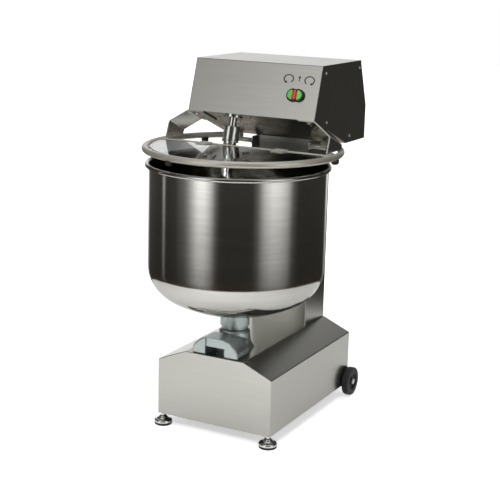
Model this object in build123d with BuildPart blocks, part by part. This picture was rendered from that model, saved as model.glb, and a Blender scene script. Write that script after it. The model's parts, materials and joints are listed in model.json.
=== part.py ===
from build123d import *
import os
from math import atan2, cos, hypot, pi, radians, sin, sqrt, tan

# Commercial dough mixer with a 100 litre bowl.  Millimetres, +Z up.
# Origin: on the floor, under the middle of the machine's outline.  Front is -Y, right is +X.

# ---------------------------------------------------------------- driving dimensions
SHEET = 2.5                                   # stainless casing sheet
TOUCH = 0.1                                   # gap between casing sheets that meet

BASE_BOTTOM = 38.0                            # casing above the floor, on its feet
BASE_HALF_WIDTH = 200.0
BASE_FRONT = -234.5
BASE_REAR = 350.5
SIDE_TOP = 218.5
ROOF = 260.0
ROOF_HALF_WIDTH = 102.5

BOWL_Y = -103.0                               # the bowl's vertical axis is X = 0, Y = BOWL_Y
BOWL_RADIUS = 273.5
BOWL_WALL = 2.5
BOWL_TOP = 839.0
BOWL_BOTTOM = 373.0
BOWL_FLAT = 50.0                              # flat middle that sits on the hub
BOWL_CORNER = 114.0                           # radius of the rounded bottom corner
BOWL_CROWN = 451.5                            # radius of the dished bottom
BEAD_RADIUS = 6.5
BEAD_CENTRE = 279.0

COLUMN_HALF_WIDTH = 100.0
COLUMN_FRONT = 202.5
HEAD_FLOOR = 887.0

HEAD_HALF_WIDTH = 219.0
HEAD_FRONT_LOW = (-38.5, 983.0)               # (Y, Z) corners of the head's outline
HEAD_FRONT_TOP = (12.0, 1143.0)
HEAD_REAR_TOP = (300.0, 1143.0)
HEAD_REAR_SLOPE = (354.5, 996.0)
HEAD_REAR_LOW = (354.5, HEAD_FLOOR)
HEAD_FLOOR_FRONT = (204.5, HEAD_FLOOR)
FLOOR_SHEET = 4.0

RING_Y = -75.0
RING_Z = 884.0
RING_RADIUS = 300.0
RING_TUBE = 10.0

TOOL_LEAN = 14.5                              # degrees, lower end towards the front
TOOL_POINT = (-75.0, -24.0, 888.0)            # where the spindle's axis crosses the lid's level
SHAFT_RADIUS = 12.5
SPIRAL_RADIUS = 98.0
SPIRAL_BAR = 15.0

LID_THICKNESS = 4.0
LID_Z = 886.0
HINGE_Z = LID_Z + LID_THICKNESS / 2
HINGE_ROD = 4.5

WHEEL_RADIUS = 48.0
WHEEL_WIDTH = 24.0
WHEEL_Y = 340.5
WHEEL_INNER_X = 202.0
AXLE_RADIUS = 5.0

FOOT_X = 188.0
FOOT_Y = -221.5
FOOT_RADIUS = 29.0
STUD_RADIUS = 6.0

RUN = 0.05                                    # radial running clearance of shafts
BELT_GAP = 0.3                                # belt to pulley
SIDES = (("left", -1), ("right", 1))

os.makedirs("parts", exist_ok=True)


# ---------------------------------------------------------------- helpers
def save(piece, name):
    piece.part.label = name
    export_step(piece.part, f"parts/{name}.step")


def across(y):
    """Upright plane at depth y: sketch x is X, sketch y is Z."""
    return Plane.XZ.offset(-y)


def beside(x):
    """Upright plane at width x: sketch x is Y, sketch y is Z."""
    return Plane.YZ.offset(x)


def strip(points, thickness):
    """Outline of a bent sheet: the points, then their mitred copy on the left-hand side."""
    normals = []
    for (x0, y0), (x1, y1) in zip(points, points[1:]):
        length = hypot(x1 - x0, y1 - y0)
        normals.append(((y0 - y1) / length, (x1 - x0) / length))
    inner = []
    for i, (x, y) in enumerate(points):
        a = normals[max(i - 1, 0)]
        b = normals[min(i, len(normals) - 1)]
        scale = thickness / (1 + a[0] * b[0] + a[1] * b[1])
        inner.append((x + scale * (a[0] + b[0]), y + scale * (a[1] + b[1])))
    return points + inner[::-1]


def turned(profile, section, axis):
    """A turned piece from a closed (radius, height) outline."""
    with BuildPart() as piece:
        with BuildSketch(section):
            Polygon(*profile, align=None)
        revolve(axis=axis)
    return piece


def belt(plane, width, big, small, small_at, thickness):
    """A belt round two pulleys: big at the plane's origin, small at small_at."""
    with BuildPart() as piece:
        with BuildSketch(plane):
            Circle(big + BELT_GAP + thickness)
            with Locations(small_at):
                Circle(small + BELT_GAP + thickness)
            make_hull()
        extrude(amount=width)
        with BuildSketch(plane):
            Circle(big + BELT_GAP)
            with Locations(small_at):
                Circle(small + BELT_GAP)
            make_hull()
        extrude(amount=width, mode=Mode.SUBTRACT)
    return piece


# ---------------------------------------------------------------- base casing
base_outline = [
    (BASE_HALF_WIDTH, BASE_BOTTOM),
    (BASE_HALF_WIDTH, SIDE_TOP),
    (ROOF_HALF_WIDTH, ROOF),
    (-ROOF_HALF_WIDTH, ROOF),
    (-BASE_HALF_WIDTH, SIDE_TOP),
    (-BASE_HALF_WIDTH, BASE_BOTTOM),
]
NECK_HOLE = 47.0
POST_X = 60.0
POST_FRONT = 225.0
POST_REAR = 325.0
GLAND = (130.0, 100.0)                        # (X, Z) on the rear panel
GLAND_THREAD = 10.0
HOUSING_BOLTS = [(x, y) for x in (-58, 58) for y in (-212, -170)]
BOLT_RADIUS = 5.0

with BuildPart() as base_cover:
    with BuildSketch(across(BASE_FRONT + SHEET)):
        Polygon(*strip(base_outline, SHEET), align=None)
    extrude(amount=BASE_FRONT - BASE_REAR + 2 * SHEET)
    # the bearing housing's tube, its bolts and the column's post pass through the roof
    with BuildSketch(Plane.XY.offset(ROOF)):
        with Locations((0, BOWL_Y)):
            Circle(NECK_HOLE)
        with Locations(*HOUSING_BOLTS):
            Circle(BOLT_RADIUS)
        with Locations((0, (POST_FRONT + POST_REAR) / 2)):
            Rectangle(2 * POST_X + 2, POST_REAR - POST_FRONT + 2)
    extrude(amount=-SHEET - 1, mode=Mode.SUBTRACT)
    with BuildSketch(beside(-BASE_HALF_WIDTH - 1)):
        with Locations((WHEEL_Y, WHEEL_RADIUS)):
            Circle(AXLE_RADIUS + 1)
    extrude(amount=2 * BASE_HALF_WIDTH + 2, mode=Mode.SUBTRACT)
save(base_cover, "base_cover")

with BuildPart() as base_front_panel:
    with BuildSketch(across(BASE_FRONT)):
        Polygon(*base_outline, align=None)
    extrude(amount=-SHEET)
save(base_front_panel, "base_front_panel")

with BuildPart() as base_rear_panel:
    with BuildSketch(across(BASE_REAR - SHEET)):
        Polygon(*base_outline, align=None)
    extrude(amount=-SHEET)
    with BuildSketch(across(BASE_REAR)):
        with Locations(GLAND):
            Circle(GLAND_THREAD)
    extrude(amount=SHEET + 1, mode=Mode.SUBTRACT)
save(base_rear_panel, "base_rear_panel")

# ---------------------------------------------------------------- welded frame inside the base
RAIL_X = 197.0
RAIL_FRONT = -231.5
RAIL_REAR = 347.5
RAIL_TOP = 78.0
RAIL_WALL = 4.0
FLANGE_TOP = BASE_BOTTOM + RAIL_WALL
FLANGE_WIDTH = 40.0
BRIDGE = (247.0, 257.0)                       # plate under the roof that carries the housing
SHELF = (117.0, 125.0)                        # carries the bowl's gearmotor
MOTOR_Y = 95.0
FOOT_PLATE = (82.0, 92.0)                     # carries the column's post


def plate(x0, x1, y0, y1, z0, z1):
    """A rectangular plate between corners, added to the part being built."""
    with Locations(((x0 + x1) / 2, (y0 + y1) / 2, (z0 + z1) / 2)):
        Box(x1 - x0, y1 - y0, z1 - z0)


with BuildPart() as base_frame:
    rail_middle = (RAIL_FRONT + RAIL_REAR) / 2
    rail_length = RAIL_REAR - RAIL_FRONT
    with BuildSketch(Plane.XY.offset(BASE_BOTTOM)):
        with Locations((0, rail_middle)):
            Rectangle(2 * RAIL_X, rail_length)
            Rectangle(2 * (RAIL_X - RAIL_WALL), rail_length - 2 * RAIL_WALL, mode=Mode.SUBTRACT)
    extrude(amount=RAIL_TOP - BASE_BOTTOM)
    with BuildSketch(Plane.XY.offset(BASE_BOTTOM)):
        with Locations((0, rail_middle)):
            Rectangle(2 * RAIL_X, rail_length)
            Rectangle(
                2 * (RAIL_X - FLANGE_WIDTH),
                rail_length - 2 * FLANGE_WIDTH,
                mode=Mode.SUBTRACT,
            )
    extrude(amount=RAIL_WALL)
    # bridge on four posts, under the bowl's bearing housing
    plate(-101, 101, -228, -20, *BRIDGE)
    plate(-RAIL_X + 1, RAIL_X - 1, -48, -22, BASE_BOTTOM, 46)
    for x in (-88, 88):
        for y in (-213, -35):
            plate(x - 12.5, x + 12.5, y - 12.5, y + 12.5, FLANGE_TOP - 1, BRIDGE[0] + 1)
    # shelf for the bowl's gearmotor, on two side legs
    plate(-RAIL_X + 4, RAIL_X - 4, 35, 155, *SHELF)
    for x in (-RAIL_X + 8, RAIL_X - 8):
        plate(x - 4, x + 4, 35, 155, FLANGE_TOP - 1, SHELF[0] + 1)
    # cross bars and foot plate under the column's post
    for y in (211, 339):
        plate(-RAIL_X + 1, RAIL_X - 1, y - 6, y + 6, FLANGE_TOP - 1, FOOT_PLATE[0])
    plate(-90, 90, 205, 345, *FOOT_PLATE)
    for _, side in SIDES:
        # wheel bracket, and threaded corner block for the foot's stud
        wheel_block = sorted((side * 150, side * (RAIL_X - 1)))
        foot_block = sorted((side * 172, side * (RAIL_X - 1)))
        plate(*wheel_block, 326, RAIL_REAR - 1, FLANGE_TOP - 1, 62)
        plate(*foot_block, RAIL_FRONT + 1, -206, FLANGE_TOP - 1, RAIL_TOP)
    with Locations((-FOOT_X, FOOT_Y, BASE_BOTTOM), (FOOT_X, FOOT_Y, BASE_BOTTOM)):
        Cylinder(STUD_RADIUS + RUN, 200, mode=Mode.SUBTRACT)
    with Locations((0, BOWL_Y, BRIDGE[0])):
        Cylinder(NECK_HOLE, 60, mode=Mode.SUBTRACT)
    with Locations(*[(x, y, BRIDGE[0]) for x, y in HOUSING_BOLTS]):
        Cylinder(BOLT_RADIUS, 60, mode=Mode.SUBTRACT)
    with Locations((0, MOTOR_Y, SHELF[0])):
        Cylinder(15, 40, mode=Mode.SUBTRACT)
    for _, side in SIDES:
        with BuildSketch(beside(side * 150)):
            with Locations((WHEEL_Y, WHEEL_RADIUS)):
                Circle(AXLE_RADIUS)
        extrude(amount=side * 50, mode=Mode.SUBTRACT)
save(base_frame, "base_frame")

# ---------------------------------------------------------------- bowl bearing housing
bowl_section = Plane(origin=(0, BOWL_Y, 0), x_dir=(1, 0, 0), z_dir=(0, -1, 0))
bowl_axis = Axis((0, BOWL_Y, 0), (0, 0, 1))
TUBE_RADIUS = 46.0
BEARING_RADIUS = 36.0
HOUSING_BOTTOM = 130.0
HOUSING_TOP = 321.0
BLOCK_FRONT = -229.0
BLOCK_REAR = -150.0
SLOT_HALF_WIDTH = 34.0
SLOT_TOP = 287.0
SLOT_REAR = -160.0
SPINDLE_RADIUS = 20.0
LOWER_BEARING = (135.0, 155.0)
UPPER_BEARING = (283.0, 303.0)

with BuildPart() as bowl_bearing_housing:
    # front block, a casting with rounded shoulders
    with BuildSketch(across(BLOCK_FRONT)) as block_face:
        Polygon(
            (-80, ROOF), (80, ROOF), (77, 284), (46, 313), (-46, 313), (-77, 284), align=None
        )
        fillet(block_face.vertices().filter_by(lambda v: v.Z > ROOF + 1), 13)
    extrude(amount=BLOCK_FRONT - BLOCK_REAR)
    plate(-50, 50, BLOCK_REAR - 1, BOWL_Y, ROOF, 300)
    # neck with a concave foot and a rounded shoulder, and the tube down into the base
    with BuildSketch(bowl_section):
        with BuildLine():
            Polyline((0, HOUSING_TOP), (37, HOUSING_TOP))
            ThreePointArc((37, HOUSING_TOP), (45, 316.5), (48, 307))
            Line((48, 307), (50, 292))
            ThreePointArc((50, 292), (52.5, 276), (62, 264))
            Polyline(
                (62, 264),
                (62, ROOF),
                (TUBE_RADIUS, ROOF),
                (TUBE_RADIUS, HOUSING_BOTTOM),
                (0, HOUSING_BOTTOM),
                (0, HOUSING_TOP),
            )
        make_face()
    revolve(axis=bowl_axis)
    with Locations((0, BOWL_Y, HOUSING_BOTTOM)):
        Cylinder(
            BEARING_RADIUS,
            UPPER_BEARING[1] - HOUSING_BOTTOM,
            align=(Align.CENTER, Align.CENTER, Align.MIN),
            mode=Mode.SUBTRACT,
        )
        Cylinder(
            SPINDLE_RADIUS + 4,
            HOUSING_TOP - HOUSING_BOTTOM,
            align=(Align.CENTER, Align.CENTER, Align.MIN),
            mode=Mode.SUBTRACT,
        )
    # slot through the block's foot, under a lintel that stands back from the face
    slot_depth = SLOT_REAR - BLOCK_FRONT
    with Locations((0, BLOCK_FRONT + slot_depth / 2, (ROOF + SLOT_TOP) / 2)):
        Box(2 * SLOT_HALF_WIDTH, slot_depth, SLOT_TOP - ROOF, mode=Mode.SUBTRACT)
    with Locations((0, BLOCK_FRONT, 300)):
        Box(2 * SLOT_HALF_WIDTH, 10, 40, mode=Mode.SUBTRACT)
    with Locations(*[(x, y, ROOF) for x, y in HOUSING_BOLTS]):
        Cylinder(BOLT_RADIUS, 40, mode=Mode.SUBTRACT)
save(bowl_bearing_housing, "bowl_bearing_housing")

with BuildPart() as housing_bolts:
    with Locations(*[(x, y, BRIDGE[0]) for x, y in HOUSING_BOLTS]):
        Cylinder(BOLT_RADIUS, 30, align=(Align.CENTER, Align.CENTER, Align.MIN))
    with BuildSketch(Plane.XY.offset(BRIDGE[0])):
        with Locations(*HOUSING_BOLTS):
            RegularPolygon(9, 6)
    extrude(amount=-7)
save(housing_bolts, "housing_bolts")

for bearing_name, (low, high) in (("lower", LOWER_BEARING), ("upper", UPPER_BEARING)):
    bearing = turned(
        [
            (SPINDLE_RADIUS + RUN, low),
            (BEARING_RADIUS, low),
            (BEARING_RADIUS, high),
            (SPINDLE_RADIUS + RUN, high),
        ],
        bowl_section,
        bowl_axis,
    )
    save(bearing, f"bowl_bearing_{bearing_name}")


# ---------------------------------------------------------------- bowl and what turns with it
CROWN_Z = BOWL_BOTTOM + sqrt(BOWL_CROWN**2 - BOWL_FLAT**2)
CORNER_X = BOWL_RADIUS - BOWL_CORNER
CORNER_Z = CROWN_Z - sqrt((BOWL_CROWN - BOWL_CORNER) ** 2 - CORNER_X**2)
CROWN_ANGLE = atan2(CORNER_X, CROWN_Z - CORNER_Z)   # where dish and corner are tangent


def bowl_profile(inset):
    """Half outline of the bowl's body, moved inwards by inset."""
    corner = BOWL_CORNER - inset
    crown = BOWL_CROWN - inset
    bottom = BOWL_BOTTOM + inset
    flat = sqrt(crown**2 - (CROWN_Z - bottom) ** 2)
    flat_angle = atan2(flat, CROWN_Z - bottom)

    def on_crown(angle):
        return (crown * sin(angle), CROWN_Z - crown * cos(angle))

    def on_corner(angle):
        return (CORNER_X + corner * sin(angle), CORNER_Z - corner * cos(angle))

    with BuildSketch(bowl_section) as profile:
        with BuildLine():
            Line((0, bottom), on_crown(flat_angle))
            ThreePointArc(
                on_crown(flat_angle), on_crown((flat_angle + CROWN_ANGLE) / 2), on_crown(CROWN_ANGLE)
            )
            ThreePointArc(
                on_crown(CROWN_ANGLE), on_corner((CROWN_ANGLE + pi / 2) / 2), on_corner(pi / 2)
            )
            Polyline(on_corner(pi / 2), (BOWL_RADIUS - inset, BOWL_TOP), (0, BOWL_TOP), (0, bottom))
        make_face()
    return profile.sketch


with BuildPart() as bowl:
    revolve(bowl_profile(0), axis=bowl_axis)
    revolve(bowl_profile(BOWL_WALL), axis=bowl_axis, mode=Mode.SUBTRACT)
    # rolled bead round the rim
    with BuildSketch(bowl_section):
        with Locations((BEAD_CENTRE, BOWL_TOP)):
            Circle(BEAD_RADIUS)
    revolve(axis=bowl_axis)
save(bowl, "bowl")

HUB_BOTTOM = HOUSING_TOP + 1
SPINDLE_TOP = 356.0
bowl_hub = turned(
    [
        (0, SPINDLE_TOP),
        (SPINDLE_RADIUS, SPINDLE_TOP),
        (SPINDLE_RADIUS, HUB_BOTTOM),
        (40, HUB_BOTTOM),
        (40, HUB_BOTTOM + 6),
        (46, HUB_BOTTOM + 9),
        (46, BOWL_BOTTOM - 8),
        (BOWL_FLAT - 1, BOWL_BOTTOM - 3),
        (BOWL_FLAT - 1, BOWL_BOTTOM),
        (0, BOWL_BOTTOM),
    ],
    bowl_section,
    bowl_axis,
)
save(bowl_hub, "bowl_hub")

BELT_LEVEL = 84.0
PULLEY_WIDTH = 28.0
BELT_WIDTH = 20.0
BELT_THICKNESS = 6.0
BOWL_PULLEY_GROOVE = 76.0
MOTOR_PULLEY_GROOVE = 26.0
with BuildPart() as bowl_spindle:
    with Locations((0, BOWL_Y, BELT_LEVEL - 14)):
        Cylinder(
            SPINDLE_RADIUS,
            SPINDLE_TOP - BELT_LEVEL + 14,
            align=(Align.CENTER, Align.CENTER, Align.MIN),
        )
save(bowl_spindle, "bowl_spindle")


def pulley_outline(bore, groove, low):
    """Half outline of a flat-belt pulley with two low flanges."""
    flange = (PULLEY_WIDTH - BELT_WIDTH) / 2 - 1
    rim = groove + 4
    top = low + PULLEY_WIDTH
    return [
        (bore, low),
        (rim, low),
        (rim, low + flange),
        (groove, low + flange),
        (groove, top - flange),
        (rim, top - flange),
        (rim, top),
        (bore, top),
    ]


bowl_pulley = turned(
    pulley_outline(SPINDLE_RADIUS, BOWL_PULLEY_GROOVE, BELT_LEVEL), bowl_section, bowl_axis
)
save(bowl_pulley, "bowl_pulley")

motor_section = Plane(origin=(0, MOTOR_Y, 0), x_dir=(1, 0, 0), z_dir=(0, -1, 0))
motor_axis = Axis((0, MOTOR_Y, 0), (0, 0, 1))
MOTOR_SHAFT = 10.0
SHAFT_REACH = 34.0                            # how far a motor shaft goes into its motor
with BuildPart() as bowl_motor_pulley:
    with BuildSketch(motor_section):
        Polygon(*pulley_outline(0, MOTOR_PULLEY_GROOVE, BELT_LEVEL), align=None)
        with Locations((MOTOR_SHAFT / 2, (BELT_LEVEL + SHELF[1] + SHAFT_REACH) / 2)):
            Rectangle(MOTOR_SHAFT, SHELF[1] + SHAFT_REACH - BELT_LEVEL)
    revolve(axis=motor_axis)
save(bowl_motor_pulley, "bowl_motor_pulley")

with BuildPart() as bowl_gearmotor:
    # gear case, motor body with a fan cowl, and a terminal box
    with BuildSketch(motor_section):
        Polygon(
            (0, SHELF[1]),
            (58, SHELF[1]),
            (58, 160),
            (50, 166),
            (50, 222),
            (46, 236),
            (0, 236),
            align=None,
        )
    revolve(axis=motor_axis)
    plate(-24, 24, MOTOR_Y + 40, MOTOR_Y + 66, 172, 214)
    with Locations((0, MOTOR_Y, SHELF[1])):
        Cylinder(
            MOTOR_SHAFT + RUN,
            SHAFT_REACH + 2,
            align=(Align.CENTER, Align.CENTER, Align.MIN),
            mode=Mode.SUBTRACT,
        )
save(bowl_gearmotor, "bowl_gearmotor")

bowl_drive_belt = belt(
    Plane(origin=(0, BOWL_Y, BELT_LEVEL + (PULLEY_WIDTH - BELT_WIDTH) / 2)),
    BELT_WIDTH,
    BOWL_PULLEY_GROOVE,
    MOTOR_PULLEY_GROOVE,
    (0, MOTOR_Y - BOWL_Y),
    BELT_THICKNESS,
)
save(bowl_drive_belt, "bowl_drive_belt")

# ---------------------------------------------------------------- column
POST_WALL = 6.0
CHEEK = (176.0, 262.0, 842.0, 885.0)          # (front, rear, low, high) of the ring's brackets
CHEEK_THICKNESS = 4.0
CHEEK_BOLT = (244.0, 861.0)

with BuildPart() as column_cover:
    middle = (COLUMN_FRONT + BASE_REAR) / 2
    depth = BASE_REAR - COLUMN_FRONT
    with BuildSketch(Plane.XY.offset(ROOF)):
        with Locations((0, middle)):
            Rectangle(2 * COLUMN_HALF_WIDTH, depth)
            Rectangle(2 * (COLUMN_HALF_WIDTH - SHEET), depth - 2 * SHEET, mode=Mode.SUBTRACT)
    extrude(amount=HEAD_FLOOR - ROOF)
    with Locations((0, CHEEK_BOLT[0], CHEEK_BOLT[1])):
        Cylinder(4, 240, rotation=(0, 90, 0), mode=Mode.SUBTRACT)
save(column_cover, "column_cover")

with BuildPart() as column_post:
    post_middle = (POST_FRONT + POST_REAR) / 2
    with BuildSketch(Plane.XY.offset(FOOT_PLATE[1])):
        with Locations((0, post_middle)):
            Rectangle(2 * POST_X, POST_REAR - POST_FRONT)
            Rectangle(
                2 * (POST_X - POST_WALL), POST_REAR - POST_FRONT - 2 * POST_WALL, mode=Mode.SUBTRACT
            )
    extrude(amount=HEAD_FLOOR - FOOT_PLATE[1])
    # flange that the head's floor is bolted down to
    with BuildSketch(Plane.XY.offset(HEAD_FLOOR - 8)):
        with Locations((0, post_middle)):
            Rectangle(170, 120)
            Rectangle(2 * (POST_X - POST_WALL), POST_REAR - POST_FRONT - 2 * POST_WALL, mode=Mode.SUBTRACT)
    extrude(amount=8)
save(column_post, "column_post")

for name, side in SIDES:
    outer_x = side * COLUMN_HALF_WIDTH
    with BuildPart() as column_cheek:
        with BuildSketch(beside(outer_x)):
            with Locations(((CHEEK[0] + CHEEK[1]) / 2, (CHEEK[2] + CHEEK[3]) / 2)):
                RectangleRounded(CHEEK[1] - CHEEK[0], CHEEK[3] - CHEEK[2], 8)
            with Locations(CHEEK_BOLT):
                Circle(4, mode=Mode.SUBTRACT)
        extrude(amount=side * CHEEK_THICKNESS)
    save(column_cheek, f"column_cheek_{name}")

with BuildPart() as cheek_bolts:
    for _, side in SIDES:
        face_x = side * (COLUMN_HALF_WIDTH + CHEEK_THICKNESS)
        with BuildSketch(beside(face_x)):
            with Locations(CHEEK_BOLT):
                Circle(7.5)
        extrude(amount=side * 4.5, taper=14)
        with BuildSketch(beside(side * (COLUMN_HALF_WIDTH - SHEET - 8))):
            with Locations(CHEEK_BOLT):
                Circle(4)
        extrude(amount=side * (CHEEK_THICKNESS + SHEET + 8))
save(cheek_bolts, "cheek_bolts")

# ---------------------------------------------------------------- head casing
head_upper = [
    HEAD_REAR_LOW,
    HEAD_REAR_SLOPE,
    HEAD_REAR_TOP,
    HEAD_FRONT_TOP,
    HEAD_FRONT_LOW,
]
head_lower = [HEAD_FRONT_LOW, HEAD_FLOOR_FRONT, HEAD_REAR_LOW]
head_outline = head_upper + [HEAD_FLOOR_FRONT]

front_rise = HEAD_FRONT_TOP[1] - HEAD_FRONT_LOW[1]
front_back = HEAD_FRONT_TOP[0] - HEAD_FRONT_LOW[0]
front_length = hypot(front_rise, front_back)
front_normal = (0, -front_rise / front_length, front_back / front_length)
SWITCH_X = 144.5
SWITCH_Z = 1052.0
switch_y = HEAD_FRONT_LOW[0] + (SWITCH_Z - HEAD_FRONT_LOW[1]) * front_back / front_rise
switch_plane = Plane(origin=(SWITCH_X, switch_y, SWITCH_Z), x_dir=(1, 0, 0), z_dir=front_normal)
LOBE_RADIUS = 20.0
LOBE_X = 9.0

tool_up = (0, sin(radians(TOOL_LEAN)), cos(radians(TOOL_LEAN)))
tool_plane = Plane(origin=TOOL_POINT, x_dir=(1, 0, 0), z_dir=tool_up)
tool_section = Plane(origin=TOOL_POINT, x_dir=(1, 0, 0), z_dir=(0, -tool_up[2], tool_up[1]))
tool_axis = Axis(TOOL_POINT, tool_up)
COLLAR_RADIUS = 28.0

with BuildPart() as head_cover:
    with BuildSketch(beside(-HEAD_HALF_WIDTH + SHEET)):
        Polygon(*strip(head_upper, SHEET), align=None)
    extrude(amount=2 * (HEAD_HALF_WIDTH - SHEET))
    with BuildSketch(switch_plane.offset(-SHEET - 2)):
        with Locations((-LOBE_X, 0), (LOBE_X, 0)):
            Circle(LOBE_RADIUS - 1.5)
    extrude(amount=SHEET + 4, mode=Mode.SUBTRACT)
save(head_cover, "head_cover")

with BuildPart() as head_underside_plate:
    with BuildSketch(beside(-HEAD_HALF_WIDTH + SHEET)):
        Polygon(*strip(head_lower, FLOOR_SHEET), align=None)
        Polygon(*strip(head_upper, SHEET + TOUCH), align=None, mode=Mode.SUBTRACT)
    extrude(amount=2 * (HEAD_HALF_WIDTH - SHEET))
    with BuildSketch(tool_plane):
        Circle(COLLAR_RADIUS)
    extrude(amount=140, mode=Mode.SUBTRACT)
save(head_underside_plate, "head_underside_plate")

LOUVRES = 5
LOUVRE_TOP = (142.0, 1084.0)                  # (Y, Z) centre of the highest louvre
LOUVRE_STEP = 24.0
LOUVRE_LENGTH = 72.0
LOUVRE_HEIGHT = 12.0
HOOD = 4.0
PANEL_SCREWS = [(53.0, 969.5), (230.5, 909.5), (36.0, 1120.0), (292.0, 1120.0)]
louvre_places = [
    (LOUVRE_TOP[0] - i * LOUVRE_STEP * front_back / front_rise, LOUVRE_TOP[1] - i * LOUVRE_STEP)
    for i in range(LOUVRES)
]
for name, side in SIDES:
    inner_x = side * (HEAD_HALF_WIDTH - SHEET + TOUCH)
    with BuildPart() as head_side_panel:
        with BuildSketch(beside(inner_x)):
            Polygon(*head_outline, align=None)
        extrude(amount=side * (SHEET - TOUCH))
        # pressed louvres: a hood with its mouth downwards over a slot
        with BuildSketch(beside(inner_x)):
            with Locations(*louvre_places):
                RectangleRounded(LOUVRE_LENGTH, LOUVRE_HEIGHT, 5.9)
        extrude(amount=side * (SHEET + HOOD - TOUCH), taper=8)
        with BuildSketch(beside(inner_x - side)):
            with Locations(*[(y, z - 2) for y, z in louvre_places]):
                Rectangle(LOUVRE_LENGTH - 14, LOUVRE_HEIGHT - 4)
        extrude(amount=side * (SHEET + HOOD - 0.5), mode=Mode.SUBTRACT)
    save(head_side_panel, f"head_side_panel_{name}")

# hollow of the head, less its sheets: heavy parts bolted inside are cut to fit it
with BuildPart() as head_hollow:
    with BuildSketch(beside(-HEAD_HALF_WIDTH + SHEET + 2)):
        Polygon(*head_outline, align=None)
        Polygon(*strip(head_upper, SHEET + 1), align=None, mode=Mode.SUBTRACT)
        Polygon(*strip(head_lower, FLOOR_SHEET), align=None, mode=Mode.SUBTRACT)
    extrude(amount=2 * (HEAD_HALF_WIDTH - SHEET - 2))

with BuildPart() as side_panel_screws:
    for _, side in SIDES:
        with BuildSketch(beside(side * HEAD_HALF_WIDTH)):
            with Locations(*PANEL_SCREWS):
                Circle(4.5)
        extrude(amount=side * 2.5, taper=25)
save(side_panel_screws, "side_panel_screws")

with BuildPart() as control_box:
    plate(-205, -75, 212, 330, HEAD_FLOOR + FLOOR_SHEET, 1000)
    with Locations((-140, 271, (HEAD_FLOOR + 1000) / 2 + 4)):
        Box(126, 114, 1000 - HEAD_FLOOR - 8, mode=Mode.SUBTRACT)
save(control_box, "control_box")

# ---------------------------------------------------------------- switch on the head's front
BEZEL_PROUD = 8.0
SWITCH_DEPTH = 34.0
BUTTON_REST = BEZEL_PROUD + 4.0
BUTTON_GAP = 0.6
STOP_HALF_WIDTH = 5.5
STOP_HALF_HEIGHT = 15.0
START_RADIUS = 15.0


def start_outline(side, grow):
    """Face of a start button: a disc cut off beside the stop button."""
    with Locations((side * LOBE_X, 0)):
        Circle(START_RADIUS + grow)
    edge = STOP_HALF_WIDTH + 2 - grow
    with Locations((-side * (60 - edge), 0)):
        Rectangle(120, 80, mode=Mode.SUBTRACT)


with BuildPart() as switch_body:
    with BuildSketch(switch_plane):
        with Locations((-LOBE_X, 0), (LOBE_X, 0)):
            Circle(LOBE_RADIUS)
    extrude(amount=BEZEL_PROUD, taper=6)
    with BuildSketch(switch_plane):
        with Locations((-LOBE_X, 0), (LOBE_X, 0)):
            Circle(LOBE_RADIUS - 1.5)
    extrude(amount=-SWITCH_DEPTH)
    for _, side in SIDES:
        with BuildSketch(switch_plane.offset(BEZEL_PROUD + 1)):
            start_outline(side, BUTTON_GAP)
        extrude(amount=-BEZEL_PROUD - 14, mode=Mode.SUBTRACT)
    with BuildSketch(switch_plane.offset(BEZEL_PROUD + 1)):
        RectangleRounded(
            2 * (STOP_HALF_WIDTH + BUTTON_GAP),
            2 * (STOP_HALF_HEIGHT + BUTTON_GAP),
            STOP_HALF_WIDTH,
        )
    extrude(amount=-BEZEL_PROUD - 14, mode=Mode.SUBTRACT)
save(switch_body, "switch_body")

for name, side in SIDES:
    with BuildPart() as start_button:
        with BuildSketch(switch_plane.offset(BUTTON_REST)):
            start_outline(side, 0)
        extrude(amount=-BUTTON_REST - 6)
        chamfer(start_button.faces().sort_by(Axis((0, 0, 0), front_normal))[-1].edges(), 1.2)
    save(start_button, f"start_button_{name}")

with BuildPart() as stop_button:
    with BuildSketch(switch_plane.offset(BUTTON_REST + 1.5)):
        RectangleRounded(2 * STOP_HALF_WIDTH, 2 * STOP_HALF_HEIGHT, STOP_HALF_WIDTH - 0.5)
    extrude(amount=-BUTTON_REST - 7.5)
    chamfer(stop_button.faces().sort_by(Axis((0, 0, 0), front_normal))[-1].edges(), 1.2)
save(stop_button, "stop_button")

# ---------------------------------------------------------------- tool drive inside the head
TOOL_BEARING_RADIUS = 24.0
TOOL_LOWER_BEARING = (104.0, 120.0)           # heights are along the tool's leaning axis
TOOL_UPPER_BEARING = (170.0, 186.0)
COLLAR_BOTTOM = 80.0
TUBE_TOP = 192.0
TOOL_PULLEY_LOW = 202.0
TOOL_PULLEY_GROOVE = 20.0
TOOL_BELT_THICKNESS = 4.0
TOOL_MOTOR = (160.0, 120.0)                   # from the tool's axis, square to it
TOOL_MOTOR_TOP = 190.0


def along_tool(low, high, radius, mode=Mode.ADD):
    """A cylinder on the tool's axis."""
    with Locations(tool_plane.offset(low)):
        Cylinder(radius, high - low, align=(Align.CENTER, Align.CENTER, Align.MIN), mode=mode)


with BuildPart() as spindle_housing:
    along_tool(60, 112, 58)
    add(head_hollow.part, mode=Mode.INTERSECT)
    along_tool(COLLAR_BOTTOM, TUBE_TOP, COLLAR_RADIUS)
    along_tool(TOOL_LOWER_BEARING[0], TUBE_TOP + 1, TOOL_BEARING_RADIUS, Mode.SUBTRACT)
    along_tool(COLLAR_BOTTOM - 1, TUBE_TOP, SHAFT_RADIUS + 3, Mode.SUBTRACT)
save(spindle_housing, "spindle_housing")

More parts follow.
